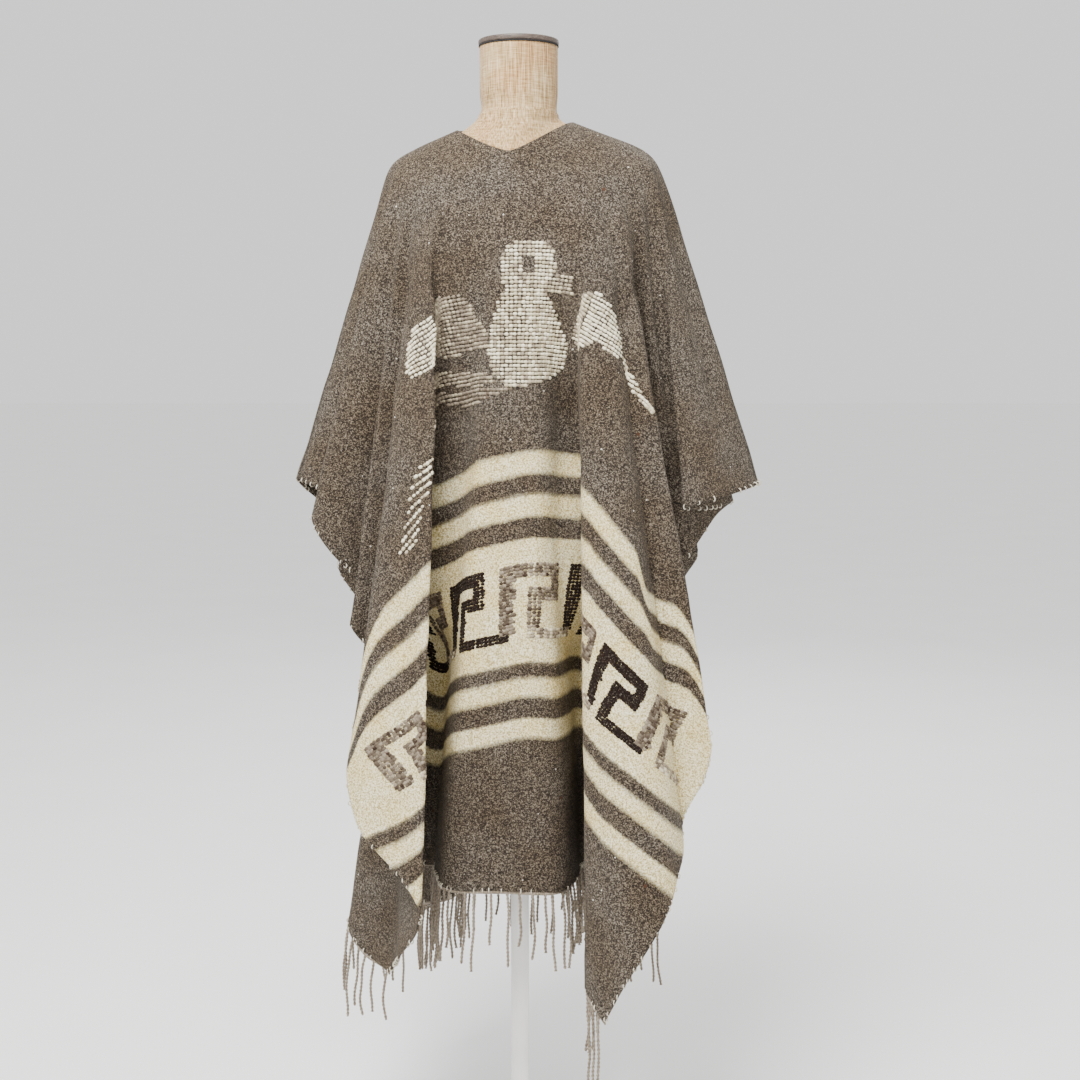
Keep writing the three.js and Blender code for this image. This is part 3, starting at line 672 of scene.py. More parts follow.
def key_shapes(side):
    """All the key units of one half; side is 1 on the front and -1 on the back."""
    shapes = []
    for unit_number in range(-6, 6):
        start = KEY_START + KEY_UNIT * unit_number
        grey = unit_number in KEY_GREY_UNITS
        for bar, (left, right, top, bottom) in KEY_BARS.items():
            low, high = side * (KEY_TOP + top), side * (KEY_TOP + bottom)
            value = FAINT if grey and bar == "bottom bar" else GREY if grey else DARK
            shapes.append((value, [(start + left, low), (start + right, low),
                                   (start + right, high), (start + left, high)]))
    return shapes


def new_tree(name, inputs):
    """An empty Geometry Nodes tree with its named inputs; returns it and their sockets."""
    tree = bpy.data.node_groups.new(name, "GeometryNodeTree")
    for socket, kind in inputs.items():
        tree.interface.new_socket(socket, in_out="INPUT", socket_type="NodeSocket" + kind)
    tree.interface.new_socket("Geometry", in_out="OUTPUT", socket_type="NodeSocketGeometry")
    return tree, add(tree, "NodeGroupInput").outputs


def scatters(tree, seed, *ranges):
    """Random values, one for each range, that differ from point to point."""
    return [add(tree, "FunctionNodeRandomValue", Min=low, Max=high,
                Seed=add(tree, "Math", seed, salt))
            for salt, (low, high) in enumerate(ranges, 1)]


def close_tree(tree, instances, yarn):
    """Makes a tree's instances real, in their yarn, and gives them as its result."""
    real = add(tree, "GeometryNodeRealizeInstances", instances)
    add(tree, "NodeGroupOutput", add(tree, "GeometryNodeSetMaterial", real, Material=yarn))


def grown(source, tree, name, values):
    """The mesh that a tree makes from an object, as a new plain object."""
    modifier = source.modifiers.new(tree.name, "NODES")
    modifier.node_group = tree
    for item in tree.interface.items_tree:
        if item.in_out == "INPUT" and item.name in values:
            modifier[item.identifier] = values[item.name]
    source.update_tag()
    graph = bpy.context.evaluated_depsgraph_get()
    mesh = bpy.data.meshes.new_from_object(source.evaluated_get(graph), depsgraph=graph)
    mesh.name = name
    if mesh.materials[0] is None:
        mesh.materials.pop(index=0)
    bpy.data.objects.remove(source)
    return new_object(name, mesh)


# The pattern's places run past 0 to 1, where a UV surface can be sampled, so they are
# shrunk towards its middle
UV_SHRINK = (0.4,) * 3
UV_MIDDLE = (0.5,) * 3

# Lays rows of stitches wherever the chart has a face, on the cloth's own face
inlay_tree, given = new_tree("weft_inlay", {
    "Chart": "Geometry", "Cloth": "Object", "Yarn": "Material", "Middle": "Vector",
    "Width": "Float", "Height": "Float", "Stitch pitch": "Float", "Row pitch": "Float",
    "Stitch size": "Vector", "Wander": "Float", "Mottle": "Float", "Seed": "Int"})
t = inlay_tree
chances = scatters(t, given["Seed"], (-1.0, 1.0), (-0.35, 0.35), (0.8, 1.15), (-1.0, 1.0))
grid = add(t, "GeometryNodeMeshGrid", Size_X=given["Width"], Size_Y=given["Height"],
           Vertices_X=add(t, "Math", given["Width"], given["Stitch pitch"], operation="DIVIDE"),
           Vertices_Y=add(t, "Math", given["Height"], given["Row pitch"], operation="DIVIDE"))
wander = add(t, "VectorMath", add(t, "CombineXYZ", *chances[:2]), Scale=given["Wander"],
             operation="SCALE")
placed = add(t, "GeometryNodeSetPosition", Geometry=grid,
             Offset=add(t, "VectorMath", given["Middle"], wander))
here = add(t, "GeometryNodeInputPosition")
paleness = add(t, "GeometryNodeInputNamedAttribute", Name="paleness", data_type="FLOAT")
hit = add(t, "GeometryNodeRaycast", Target_Geometry=given["Chart"], Attribute=paleness,
          Source_Position=add(t, "VectorMath", here, (0, 0, 0.01)), Ray_Direction=(0, 0, -1),
          Ray_Length=0.02, data_type="FLOAT").outputs
mottled = add(t, "Math", given["Mottle"], chances[3], operation="MULTIPLY")
mottled = add(t, "Math", mottled, add(t, "Math", hit["Attribute"], 0.15), operation="MULTIPLY")
mottled = add(t, "Math", mottled, hit["Attribute"])
stored = add(t, "GeometryNodeStoreNamedAttribute", Geometry=placed, Name="paleness",
             Value=mottled, data_type="FLOAT", domain="POINT")
missed = add(t, "Math", 1.0, hit["Is Hit"], operation="SUBTRACT")
on_chart = add(t, "GeometryNodeDeleteGeometry", Geometry=stored, Selection=missed,
               domain="POINT")
cloth_mesh = add(t, "GeometryNodeObjectInfo", Object=given["Cloth"]).outputs["Geometry"]
cloth_uv = add(t, "GeometryNodeInputNamedAttribute", Name="pattern", data_type="FLOAT_VECTOR")
cloth_uv = add(t, "VectorMath", cloth_uv, UV_SHRINK, UV_MIDDLE, operation="MULTIPLY_ADD")


def on_cloth(value, offset=(0, 0, 0)):
    """A value of the cloth's surface under the chart's point, moved by an offset."""
    place = add(t, "VectorMath", here, offset)
    place = add(t, "VectorMath", place, UV_SHRINK, UV_MIDDLE, operation="MULTIPLY_ADD")
    return add(t, "GeometryNodeSampleUVSurface", Mesh=cloth_mesh, Value=value,
               Source_UV_Map=cloth_uv, Sample_UV=place, data_type="FLOAT_VECTOR")


cloth_place = on_cloth(here)
cloth_beside = on_cloth(here, (0.002, 0, 0))
caught = add(t, "GeometryNodeCaptureAttribute", Geometry=on_chart)
for name, value in (
        ("place", cloth_place), ("normal", on_cloth(add(t, "GeometryNodeInputNormal"))),
        ("weftwise", add(t, "VectorMath", cloth_beside, cloth_place, operation="SUBTRACT"))):
    caught.capture_items.new("VECTOR", name)
    t.links.new(value.outputs[0], caught.inputs[name])
moved = add(t, "GeometryNodeSetPosition", Geometry=caught, Position=caught.outputs["place"])
turn = add(t, "FunctionNodeAlignRotationToVector", Vector=caught.outputs["weftwise"], axis="X")
turn = add(t, "FunctionNodeAlignRotationToVector", Rotation=turn,
           Vector=caught.outputs["normal"], axis="Z", pivot_axis="X")
bead = add(t, "GeometryNodeMeshIcoSphere", Radius=0.5, Subdivisions=1)
stitches = add(t, "GeometryNodeInstanceOnPoints", Points=moved, Rotation=turn,
               Instance=add(t, "GeometryNodeSetShadeSmooth", bead),
               Scale=add(t, "VectorMath", given["Stitch size"], Scale=chances[2],
                         operation="SCALE"))
close_tree(t, stitches, given["Yarn"])


def inlay_yarn():
    """Soft thick-spun wool, brushed with the cloth: matt, with stray pale and dark fibres."""
    material, tree, place = new_material("inlay_yarn")
    pale = add(tree, "Attribute", attribute_name="paleness").outputs["Fac"]
    fibre = add(tree, "TexNoise", Vector=place, Scale=every(2.4), Detail=3.0, Roughness=0.7)
    strand = add(tree, "TexNoise", Vector=place, Scale=every(9.0))
    strand = add(tree, "Math", strand, 0.5, operation="SUBTRACT")
    body = add(tree, "ValToRGB", add(tree, "Math", strand, 0.3, pale, operation="MULTIPLY_ADD"),
               stops=[(0.0, "#170c08"), (0.22, "#2a1a13"), (0.42, "#5f5345"),
                      (0.62, "#8f8270"), (0.8, "#bfb294"), (1.0, "#e8dfc4")])
    colour = add(tree, "Mix", A=body, B="#efe6cf", data_type="RGBA",
                 Factor=add(tree, "MapRange", fibre, 0.55, 0.85, 0.0, 0.2))
    return surfaced(material, colour, Roughness=0.95, Specular_IOR_Level=0.15,
                    Sheen_Weight=0.04, Sheen_Tint="#cbb89c", Sheen_Roughness=0.6,
                    bump=(0.6, 0.001, fibre))


def cloth_face(name, middle, out, pattern):
    """The outer face of one cloth half alone, for stitches to lie on."""
    face = (middle + out * CLOTH_WALL / 2).reshape(-1, 3)
    return mesh_object(name, face, net_quads(*middle.shape[:2]).tolist(),
                       uv=pattern.reshape(-1, 2))


inlay_material = inlay_yarn()
faces_to_lie_on = {"poncho_front": cloth_face("front_face", *front_net),
                   "poncho_back": cloth_face("back_face", *back_net)}
bird_shapes = [(value, outline) for _, value, outline in BIRD]
Inlay = namedtuple("Inlay", "name carrier shapes middle size pitch stitch mottle")
KEY_PITCH = (4.5, 4.3)
KEY_STITCH = (7.8, 5.6, 2.6)
BIRD_PITCH = (5.2, 4.9)
BIRD_STITCH = (6.7, 4.7, 2.6)
STITCH_WANDER = 0.8
INLAYS = [
    Inlay("key_band_front", "poncho_front", key_shapes(1), (0, 680), (1250, 112),
          KEY_PITCH, KEY_STITCH, 0.30),
    Inlay("key_band_back", "poncho_back", key_shapes(-1), (0, -680), (1250, 112),
          KEY_PITCH, KEY_STITCH, 0.30),
    Inlay("bird_inlay", "poncho_front", bird_shapes, (-30, 356), (740, 290),
          BIRD_PITCH, BIRD_STITCH, 0.20),
]
for seed, row in enumerate(INLAYS):
    inlay = grown(chart_object(row.name + "_chart", row.shapes), inlay_tree, row.name, {
        "Cloth": faces_to_lie_on[row.carrier], "Yarn": inlay_material,
        "Middle": (row.middle[0] * MM, row.middle[1] * MM, 0), "Width": row.size[0] * MM,
        "Height": row.size[1] * MM, "Stitch pitch": row.pitch[0] * MM,
        "Row pitch": row.pitch[1] * MM, "Stitch size": [side * MM for side in row.stitch],
        "Wander": STITCH_WANDER * MM, "Mottle": row.mottle, "Seed": seed})
    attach(inlay, "root")
for face in faces_to_lie_on.values():
    bpy.data.objects.remove(face)

# The fringe is the warp: at each hem the ends are left long and twisted in pairs, so each
# strand is a two-ply cord fixed in the last rows of the weave, thinner and frayed at its end.
STRAND_SPACING = 20
STRAND_JITTER = 0.55
STRANDS_APART = 6
STRAND_SWAY = 5
STRAND_SHORTEST = 70
STRAND_LONGEST = 118
STRAND_WAVE = 1.6
STRAND_THICK = 4.6
STRAND_STEP = 2.2
STRAND_END_SHARE = 0.55
TURNS_EACH_METRE = 90.0
FRINGE_GAP = 0.5
FRINGE_STRIP = 4
STRIP_HALF_THICK = 1.6


def scatter(index, salt):
    """A repeatable scatter between 0 and 1."""
    value = math.sin(index * 12.9898 + salt * 78.233) * 43758.5453
    return value - math.floor(value)


def hem_frame(at):
    """Edge points, the way the cloth runs out there, and its outward normal."""
    at = np.asarray(at, float)
    edge, before = (cloth_at(at, np.full(at.shape, share))[0] for share in (1.0, 0.99))
    ahead, behind = (cloth_at(at + step, np.ones(at.shape))[0] for step in (2.0, -2.0))
    away = unit(edge - before)
    return edge, away, unit(np.cross(away, ahead - behind))


def strand_lines(start, end, salt):
    """Centre lines of one hem's strands: root, middle and end of each."""
    lines = []
    for i in range(int((end - start) // STRAND_SPACING)):
        jitter = (scatter(i, salt) - 0.5) * STRAND_JITTER
        at = start + STRAND_SPACING * (i + 0.5 + jitter)
        edge, away, _ = (value[0] for value in hem_frame([at]))
        root = edge + away * (FRINGE_GAP + FRINGE_STRIP * 0.55)
        length = STRAND_SHORTEST + (STRAND_LONGEST - STRAND_SHORTEST) * scatter(i, salt + 1)
        index = i + salt * 100
        sway = np.array([scatter(index, 3) - 0.5, scatter(index, 4) - 0.5, 0])
        tip = root + away * length * 0.6
        tip[2] = root[2] - length
        line = np.array([root, root + away * length * 0.45 + sway * STRAND_SWAY, tip])
        near = [np.linalg.norm(line - other, axis=1).min() < STRANDS_APART for other in lines]
        if not any(near):
            lines.append(line)
    return lines


# Turns each centre line into a twisted two-ply cord that thins towards its end
cord_tree, given = new_tree("twisted_cord", {
    "Lines": "Geometry", "Yarn": "Material", "Thickness": "Float", "Step": "Float",
    "Turns each metre": "Float", "End share": "Float"})
t = cord_tree
along = add(t, "GeometryNodeSplineParameter").outputs
tilt = add(t, "Math", given["Turns each metre"], 2 * math.pi, operation="MULTIPLY")
tilt = add(t, "Math", along["Length"], tilt, operation="MULTIPLY")
thin = add(t, "MapRange", along["Factor"], 0.75, 1.0, 1.0, given["End share"])
curves = add(t, "GeometryNodeMeshToCurve", given["Lines"])
curves = add(t, "GeometryNodeResampleCurve", curves, Length=given["Step"], mode="LENGTH")
curves = add(t, "GeometryNodeSetCurveTilt", curves, Tilt=tilt)
curves = add(t, "GeometryNodeSetCurveRadius", curves, Radius=thin)
squeeze = add(t, "VectorMath", add(t, "GeometryNodeInputPosition"), (1.0, 0.55, 1.0),
              operation="MULTIPLY")
ply = add(t, "GeometryNodeCurvePrimitiveCircle", Resolution=8, mode="RADIUS",
          Radius=add(t, "Math", given["Thickness"], 0.5, operation="MULTIPLY"))
ply = add(t, "GeometryNodeSetPosition", ply, Position=squeeze)
cords = add(t, "GeometryNodeCurveToMesh", Curve=curves, Profile_Curve=ply, Fill_Caps=True)
close_tree(t, add(t, "GeometryNodeSetShadeSmooth", cords), given["Yarn"])


def fringe_wool():
    """Hard-twisted warp wool in brown and grey, with pale fibres standing off it."""
    material, tree, place = new_material("fringe_wool")
    fibre = add(tree, "Mapping", Vector=place, Scale=(1.0, 1.0, 0.35))
    fibre = add(tree, "TexNoise", Vector=fibre, Scale=every(1.6), Detail=3.0, Roughness=0.7)
    colour = add(tree, "ValToRGB", fibre, stops=[(0.3, "#453a30"), (0.48, "#6f6253"),
                                                 (0.62, "#968975"), (0.78, "#c4b79e")])
    strand = add(tree, "Mapping", Vector=place, Scale=(1.0, 1.0, 0.05))
    strand = add(tree, "TexNoise", Vector=strand, Scale=every(14.0))
    colour = add(tree, "Mix", A=colour, B="#a79c8a", data_type="RGBA",
                 Factor=add(tree, "MapRange", strand, 0.4, 0.65, 0.0, 0.35))
    return surfaced(material, colour, Roughness=0.95, Specular_IOR_Level=0.15,
                    Sheen_Weight=0.25, bump=(0.5, 0.0008, fibre))


def closed_rings(name, rings):
    """A closed body through rings that turn anticlockwise seen from above, upwards."""
    count, sides = rings.shape[:2]
    k = np.arange(sides)
    faces = []
    for i in range(count - 1):
        low, high = i * sides, (i + 1) * sides
        faces += np.stack([low + k, low + (k + 1) % sides, high + (k + 1) % sides,
                           high + k], -1).tolist()
    faces += [k[::-1].tolist(), ((count - 1) * sides + k).tolist()]
    body = mesh_object(name, rings.reshape(-1, 3), faces)
    for end_face in list(body.data.polygons)[-2:]:
        end_face.use_smooth = False
    return body


def fringe_strip(name, start, end):
    """The last picks of the weave, where the warp ends leave it: a narrow rounded band."""
    edge, away, out = hem_frame(np.linspace(start, end, 260))
    middle, half = FRINGE_GAP + FRINGE_STRIP / 2, FRINGE_STRIP / 2
    angles = np.linspace(0, -2 * np.pi, 11)[:-1]
    return closed_rings(name, np.stack([
        edge + away * (middle + half * math.cos(a)) + out * STRIP_HALF_THICK * math.sin(a)
        for a in angles], 1))


fringe_material = fringe_wool()
HEMS = [("fringe_front", -AT_CORNER, AT_CORNER, 1),
        ("fringe_back", AT_BACK_CORNER, 2 * AT_BACK_HEM - AT_BACK_CORNER, 2)]
for name, start, end, salt in HEMS:
    points, edges = [], []
    for number, (root, middle, tip) in enumerate(strand_lines(start, end, salt)):
        steps = np.linspace(0, 1, 12)[:, None]
        line = (root - 2 * middle + tip) * 2 * steps**2 + (4 * middle - 3 * root - tip) * steps
        steps = steps[:, 0]
        wave = STRAND_WAVE * np.sin(steps * (7 + 5 * scatter(number, 7)) + number) * steps
        line = line + root
        line[:, 0] += wave
        line[:, 1] += 0.8 * wave[::-1] * steps
        edges += [(len(points) + k, len(points) + k + 1) for k in range(len(line) - 1)]
        points += line.tolist()
    lines = mesh_object(name + "_lines", points, edges=edges)
    cords = grown(lines, cord_tree, name + "_cords", {
        "Yarn": fringe_material, "Thickness": STRAND_THICK * MM, "Step": STRAND_STEP * MM,
        "Turns each metre": TURNS_EACH_METRE, "End share": STRAND_END_SHARE})
    strip = fringe_strip(name + "_strip", start, end)
    strip.data.materials.append(fringe_material)
    for piece in (cords, strip):
        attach(piece, "root")
    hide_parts(name)

# Whip stitches in cream wool bind the cloth's cut and woven edges: short slanted loops that
# pass over the edge, in places close together and in places worn away.
EDGE_STITCH_PITCH = 9.0
EDGE_STITCH_LOOP = 2.9
EDGE_STITCH_YARN = 1.5
EDGE_STITCH_INSET = 0.8
EDGE_STITCH_KEPT = 0.62

edge_tree, given = new_tree("whip_stitches", {
    "Edge": "Geometry", "Yarn": "Material", "Loop": "Float", "Thickness": "Float",
    "Kept share": "Float", "Seed": "Int"})
t = edge_tree
chances = scatters(t, given["Seed"], (0.0, 0.8), (-0.6, 0.6), (0.8, 1.15))
worn = add(t, "TexNoise", Vector=add(t, "GeometryNodeInputPosition"), Scale=14.0)
worn = add(t, "Math", worn, 0.4, operation="MULTIPLY")
gone = add(t, "Math", add(t, "Math", chances[0], worn), given["Kept share"],
           operation="GREATER_THAN")
kept = add(t, "GeometryNodeDeleteGeometry", given["Edge"], Selection=gone, domain="POINT")
edgeway, outward = (
    add(t, "GeometryNodeInputNamedAttribute", Name=way, data_type="FLOAT_VECTOR")
    for way in ("edgeway", "outward"))
slant = add(t, "VectorMath", outward, Scale=chances[1], operation="SCALE")
turn = add(t, "FunctionNodeAlignRotationToVector", axis="Z",
           Vector=add(t, "VectorMath", edgeway, slant))
loop = add(t, "GeometryNodeCurvePrimitiveCircle", Resolution=10, Radius=given["Loop"],
           mode="RADIUS")
yarn = add(t, "GeometryNodeCurvePrimitiveCircle", Resolution=5, mode="RADIUS",
           Radius=add(t, "Math", given["Thickness"], 0.5, operation="MULTIPLY"))
loop = add(t, "GeometryNodeCurveToMesh", Curve=loop, Profile_Curve=yarn)
loops = add(t, "GeometryNodeInstanceOnPoints", Points=kept, Rotation=turn, Scale=chances[2],
            Instance=add(t, "GeometryNodeSetShadeSmooth", loop))
close_tree(t, loops, given["Yarn"])


def cream_wool():
    """Cream two-ply sewing wool: soft, matt and a little fuzzy."""
    material, tree, place = new_material("cream_wool")
    fibre = add(tree, "TexNoise", Vector=place, Scale=every(1.5))
    colour = add(tree, "ValToRGB", fibre, stops=[(0.3, "#a79c86"), (0.5, "#cfc6b0"),
                                                 (0.7, "#e6dfcd")])
    return surfaced(material, colour, Roughness=0.92, Specular_IOR_Level=0.2, Sheen_Weight=0.2,
                    bump=(0.5, 0.0006, fibre))


stitch_wool = cream_wool()
EDGES = [("front_edge_stitches", -AT_SHOULDER, AT_SHOULDER),
         ("back_edge_stitches", AT_SHOULDER, 2 * AT_BACK_HEM - AT_SHOULDER)]
for seed, (name, start, end) in enumerate(EDGES):
    at = np.arange(start + EDGE_STITCH_PITCH, end, EDGE_STITCH_PITCH)
    edge, away, out = hem_frame(at)
    places = mesh_object(name + "_places", edge - away * EDGE_STITCH_INSET)
    for way, vectors in (("edgeway", np.cross(out, away)), ("outward", out)):
        layer = places.data.attributes.new(way, "FLOAT_VECTOR", "POINT")
        layer.data.foreach_set("vector", vectors.astype(np.float32).ravel())
    loops = grown(places, edge_tree, name, {
        "Yarn": stitch_wool, "Loop": EDGE_STITCH_LOOP * MM,
        "Thickness": EDGE_STITCH_YARN * MM, "Kept share": EDGE_STITCH_KEPT, "Seed": seed})
    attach(loops, "root")

# The dress form is a padded torso covered in plain linen, cut in panels: a raised seam
# runs round the base of the neck and another down the middle of the front and back.
FORM_SIDES = 128
NECK_RADIUS = 51.5
NECK_SEAM_Z = 1420
NECK_TOP_Z = 1508
SHOULDER_RINGS = [(115, 8), (85, 2.5), (55, 0.8), (28, 0.8), (11, 1.2), (-6, 1.8)]


def turns_round(sides):
    """Turns of a ring's points, from the front round."""
    return np.linspace(0, 2 * np.pi, sides + 1)[:-1]


def level_ring(half_width, half_depth, z, sides):
    turns = turns_round(sides)
    return np.stack([half_width * np.sin(turns), -half_depth * np.cos(turns),
                     np.full(sides, float(z))], -1)


def place_of_turn(turn):
    """Place on the cloth's edge of the thread that leaves the neck at this turn."""
    u, v = math.sin(turn), math.cos(turn)
    to_side = CLOTH_HALF_WIDTH / max(abs(u), 1e-9)
    to_hem = (FRONT_LENGTH if v > 0 else BACK_LENGTH) / max(abs(v), 1e-9)
    side = 1 if u >= 0 else -1
    if to_side < to_hem:
        return side * (AT_SHOULDER - v * to_side)
    return u * to_hem if v > 0 else side * (AT_BACK_HEM - abs(u) * to_hem)


def form_rings():
    """Rings of the form from its bottom edge to the neck's top, as the solid has them."""
    turns = turns_round(FORM_SIDES)
    rings = [level_ring(half_width, half_depth, z, FORM_SIDES)
             for z, half_width, half_depth in zip(TORSO_Z, TORSO_HALF_WIDTH, TORSO_HALF_DEPTH)
             if z < 1250]
    signed = np.where(turns > np.pi, turns - 2 * np.pi, turns)
    at = np.array([place_of_turn(turn) for turn in signed])
    for distance, under in SHOULDER_RINGS:
        # lengths of the threads, from the flat places of their ends
        ends = [cloth_at(at, np.full(FORM_SIDES, s)) for s in (0.0, 0.25, 1.0)]
        length = sum(np.hypot(b[1] - a[1], b[2] - a[2]) for a, b in zip(ends, ends[1:]))
        share = distance / length
        point = cloth_at(at, share)[0]
        down = cloth_at(at, share + 0.004)[0] - point
        sideways = cloth_at(at + 2, share)[0] - cloth_at(at - 2, share)[0]
        out = unit(np.cross(down, sideways))
        rings.append(point - out * (CLOTH_WALL / 2 + under))
    rings += [level_ring(NECK_RADIUS, NECK_RADIUS, z, FORM_SIDES)
              for z in (NECK_SEAM_Z, 1450, 1480, NECK_TOP_Z)]
    return np.array(rings)


def between_rings(rings, parts):
    """More rings, on smooth curves through the given ones."""
    steps = np.linalg.norm(np.diff(rings, axis=0), axis=-1).mean(axis=1)
    where = np.concatenate([[0], np.cumsum(steps)])
    slopes = np.diff(rings, axis=0) / steps[:, None, None]
    tangents = np.concatenate([slopes[:1], (slopes[1:] * steps[:-1, None, None]
                               + slopes[:-1] * steps[1:, None, None])
                              / (steps[1:] + steps[:-1])[:, None, None], slopes[-1:]])
    fine = [on_curve(s, where[i + 1] - where[i], rings[i], rings[i + 1], tangents[i],
                     tangents[i + 1])
            for i in range(len(rings) - 1) for s in np.arange(parts) / parts]
    return np.array(fine + [rings[-1]])


def linen_cover():
    """Unbleached linen in plain weave, stretched over padding: fine crossed threads of
    uneven thickness, warmer where slubs thicken a thread."""
    material, tree, place = new_material("linen_cover")
    upright = add(tree, "Mapping", Vector=place, Scale=(1.0, 1.0, 0.05))
    upright = add(tree, "TexNoise", Vector=upright, Scale=every(1.7))
    level = add(tree, "Mapping", Vector=place, Scale=(0.08, 0.08, 1.0))
    level = add(tree, "TexNoise", Vector=level, Scale=every(1.3))
    level = add(tree, "Math", level, 0.35, operation="MULTIPLY")
    threads = add(tree, "Math", upright, 0.65, level, operation="MULTIPLY_ADD")
    colour = add(tree, "ValToRGB", threads, stops=[(0.34, "#7a5f3a"), (0.47, "#a68a60"),
                                                   (0.55, "#bb9f76"), (0.68, "#d4bf97")])
    blush = add(tree, "TexNoise", Vector=place, Scale=every(60.0), Detail=1.0)
    colour = add(tree, "Mix", A=colour, B="#fbeee4", data_type="RGBA", blend_type="MULTIPLY",
                 Factor=add(tree, "MapRange", blush, 0.4, 0.65))
    return surfaced(material, colour, Roughness=0.88, Specular_IOR_Level=0.25,
                    Sheen_Weight=0.1, bump=(0.45, 0.0005, threads))


linen = linen_cover()
rings = between_rings(form_rings(), 6)
flat_radius = np.linalg.norm(rings[..., :2], axis=-1, keepdims=True)
height = rings[..., 2:]
neck_ridge = 1.4 * np.exp(-((height - NECK_SEAM_Z) / 1.8)**2)
seam_turn = np.abs(np.sin(turns_round(FORM_SIDES)))[None, :, None]
below_seam = 1 - smoothstep(height, NECK_SEAM_Z - 4, NECK_SEAM_Z)
centre_ridge = 0.7 * np.exp(-(seam_turn * flat_radius / 2.4)**2) * below_seam
rings[..., :2] *= 1 + (neck_ridge + centre_ridge) / flat_radius
form = closed_rings("form_linen", rings)
form.data.materials.append(linen)
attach(form, "root")
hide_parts("form_body")

# A turned wooden cap closes the neck, over a thin black felt ring that hides the cover's
# gathered edge.
CAP_RADIUS = 53
CAP_LOW_Z = 1508.3
CAP_TOP_Z = 1517
FELT_THICK = 1.6


def turned(name, profile, sides=96):
    """A body turned about the upright axis from (radius, height) points, upwards."""
    return closed_rings(name, np.array([level_ring(radius, radius, z, sides)
                                        for radius, z in profile]))


def rounded(radius, low, high, edge, steps=6):
    """Profile of a disc whose top and bottom edges are rounded."""
    angles = np.linspace(-np.pi / 2, 0, steps)
    lower = [(radius - edge + edge * math.cos(a), low + edge + edge * math.sin(a))
             for a in angles]
    upper = [(r, low + high - z) for r, z in reversed(lower)]
    return lower + upper


def waxed_wood():
    """Beech stained dark and waxed: fine straight grain under a soft shine."""
    material, tree, place = new_material("waxed_wood")
    grain = add(tree, "Mapping", Vector=place, Scale=(0.08, 1.0, 1.0))
    grain = add(tree, "TexNoise", Vector=grain, Scale=every(1.8), Detail=4.0, Distortion=0.4)
    colour = add(tree, "ValToRGB", grain, stops=[(0.3, "#3a2f29"), (0.5, "#4f433b"),
                                                 (0.7, "#635549")])
    return surfaced(material, colour, Roughness=0.5, bump=(0.2, 0.0003, grain))


def black_felt():
    """Pressed black felt: no shine and a faint mottle."""
    material, tree, place = new_material("black_felt")
    mottle = add(tree, "TexNoise", Vector=place, Scale=every(1.2))
    colour = add(tree, "ValToRGB", mottle, stops=[(0.3, "#120f0f"), (0.7, "#231f1f")])
    return surfaced(material, colour, Roughness=0.97)


cap = turned("cap_wood", rounded(CAP_RADIUS, CAP_LOW_Z + FELT_THICK, CAP_TOP_Z, 2.2))
cap.data.materials.append(waxed_wood())
felt = turned("cap_felt", rounded(CAP_RADIUS - 0.3, CAP_LOW_Z - 0.2,
                                  CAP_LOW_Z + FELT_THICK, 0.5, 4))
felt.data.materials.append(black_felt())
for piece in (cap, felt):
    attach(piece, "root")
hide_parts("neck_cap")

# The stand is a steel tube in a heavy round steel plate, both powder coated white, with a
# short collar welded round the tube's foot.
POLE_RADIUS = 12.5
PLATE_RADIUS = 170
PLATE_THICKNESS = 8
FORM_BOTTOM_Z = 800

# The tube's outline: how far it stands off the tube's own radius, and height
POLE_PROFILE = [(7.5, PLATE_THICKNESS + 0.3), (7.5, 13), (6, 15), (2.0, 17), (0.6, 18.5),
                (0, 20), (0, 400), (0, FORM_BOTTOM_Z - 0.3)]


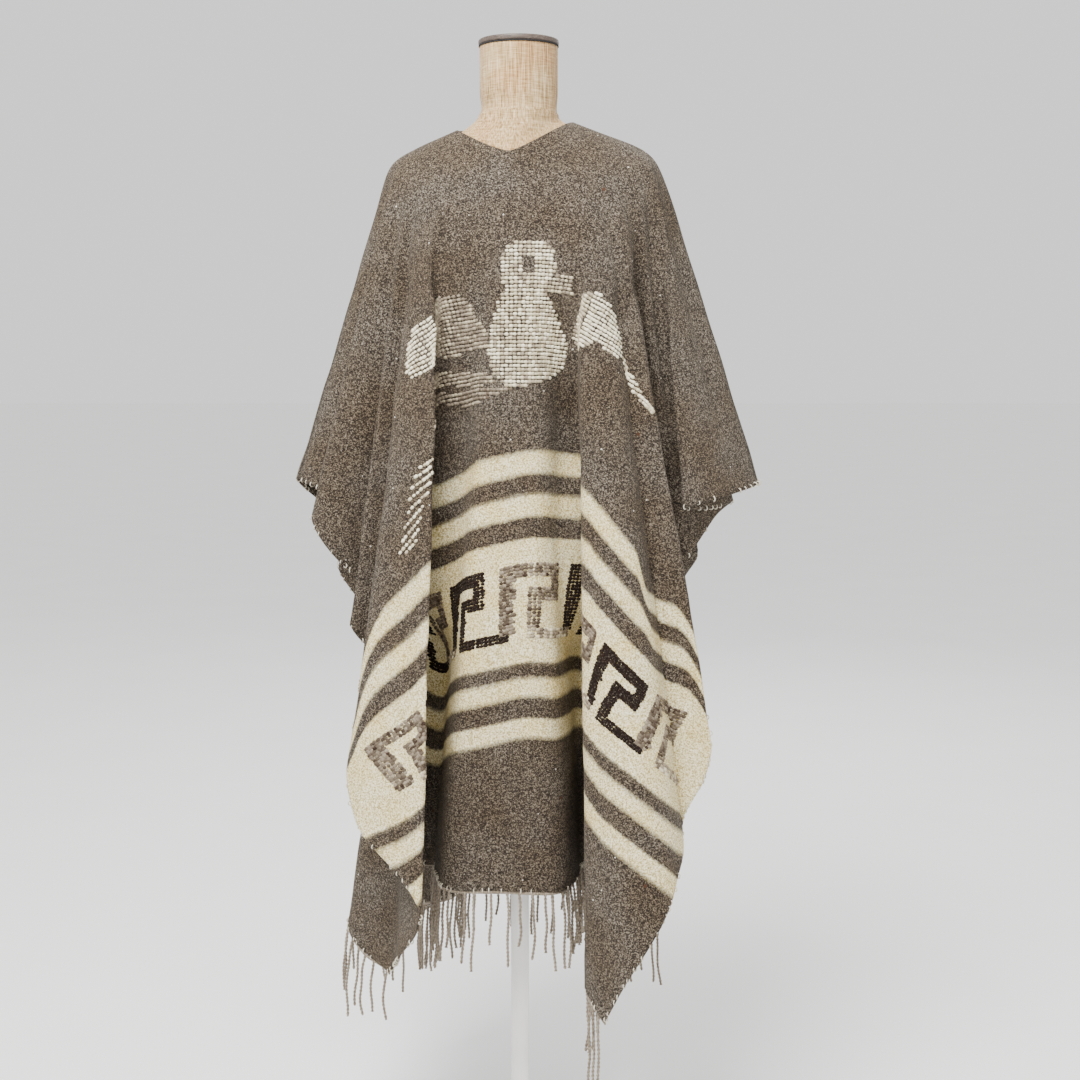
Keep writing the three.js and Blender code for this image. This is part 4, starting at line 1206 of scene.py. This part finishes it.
def powder_coat():
    """White powder coat on steel: satin, with the faint orange peel of baked powder."""
    material, tree, place = new_material("powder_coat")
    cloud = add(tree, "TexNoise", Vector=place, Scale=every(90.0))
    colour = add(tree, "ValToRGB", cloud, stops=[(0.35, "#e2e0da"), (0.65, "#eceae5")])
    peel = add(tree, "TexNoise", Vector=place, Scale=every(1.5), Detail=1.0)
    return surfaced(material, colour, Roughness=0.38, bump=(0.12, 0.0003, peel))


white_steel = powder_coat()
tube = turned("pole_tube", [(POLE_RADIUS + off, z) for off, z in POLE_PROFILE], 48)
plate = turned("plate_disc", rounded(PLATE_RADIUS, 0, PLATE_THICKNESS, 2.0), 128)
for piece, node_name in ((tube, "pole"), (plate, "base_plate")):
    piece.data.materials.append(white_steel)
    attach(piece, "root")
    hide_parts(node_name)

# A pale sealed floor, lit by a large soft lamp at the front and a weaker one at the side.
FLOOR_HALF = 30000


def sealed_floor():
    """Pale sealed concrete: matt and almost even, with faint broad clouds."""
    material, tree, place = new_material("pale_floor")
    cloud = add(tree, "TexNoise", Vector=place, Scale=every(300.0))
    colour = add(tree, "ValToRGB", cloud, stops=[(0.3, "#f8f8f7"), (0.7, "#fbfbfa")])
    return surfaced(material, colour, Roughness=0.8)


floor = mesh_object("floor", [(x * FLOOR_HALF, y * FLOOR_HALF, 0)
                              for x, y in ((-1, -1), (1, -1), (1, 1), (-1, 1))], [(0, 1, 2, 3)])
floor.data.materials.append(sealed_floor())

world = bpy.data.worlds.new("studio")
world.use_nodes = True
sky = world.node_tree.nodes["Background"].inputs
sky["Color"].default_value = linear("#fbfbfb")
sky["Strength"].default_value = 1.2
bpy.context.scene.world = world


def soft_lamp(name, place, size, power, aim=(0, 0, 1.0)):
    """A square soft box that looks at a point."""
    data = bpy.data.lights.new(name, "AREA")
    data.size = size
    data.energy = power
    lamp = new_object(name, data)
    lamp.location = place
    way = [a - p for a, p in zip(aim, place)]
    flat = math.hypot(way[0], way[1])
    lamp.rotation_euler = (math.pi / 2 + math.atan2(way[2], flat), 0,
                           math.atan2(way[1], way[0]) - math.pi / 2)


soft_lamp("key_lamp", (-0.6, -1.35, 2.95), 1.2, 155)
soft_lamp("fill_lamp", (2.4, -1.8, 1.8), 2.0, 15)
soft_lamp("back_lamp", (0.6, 2.8, 2.6), 2.0, 40)
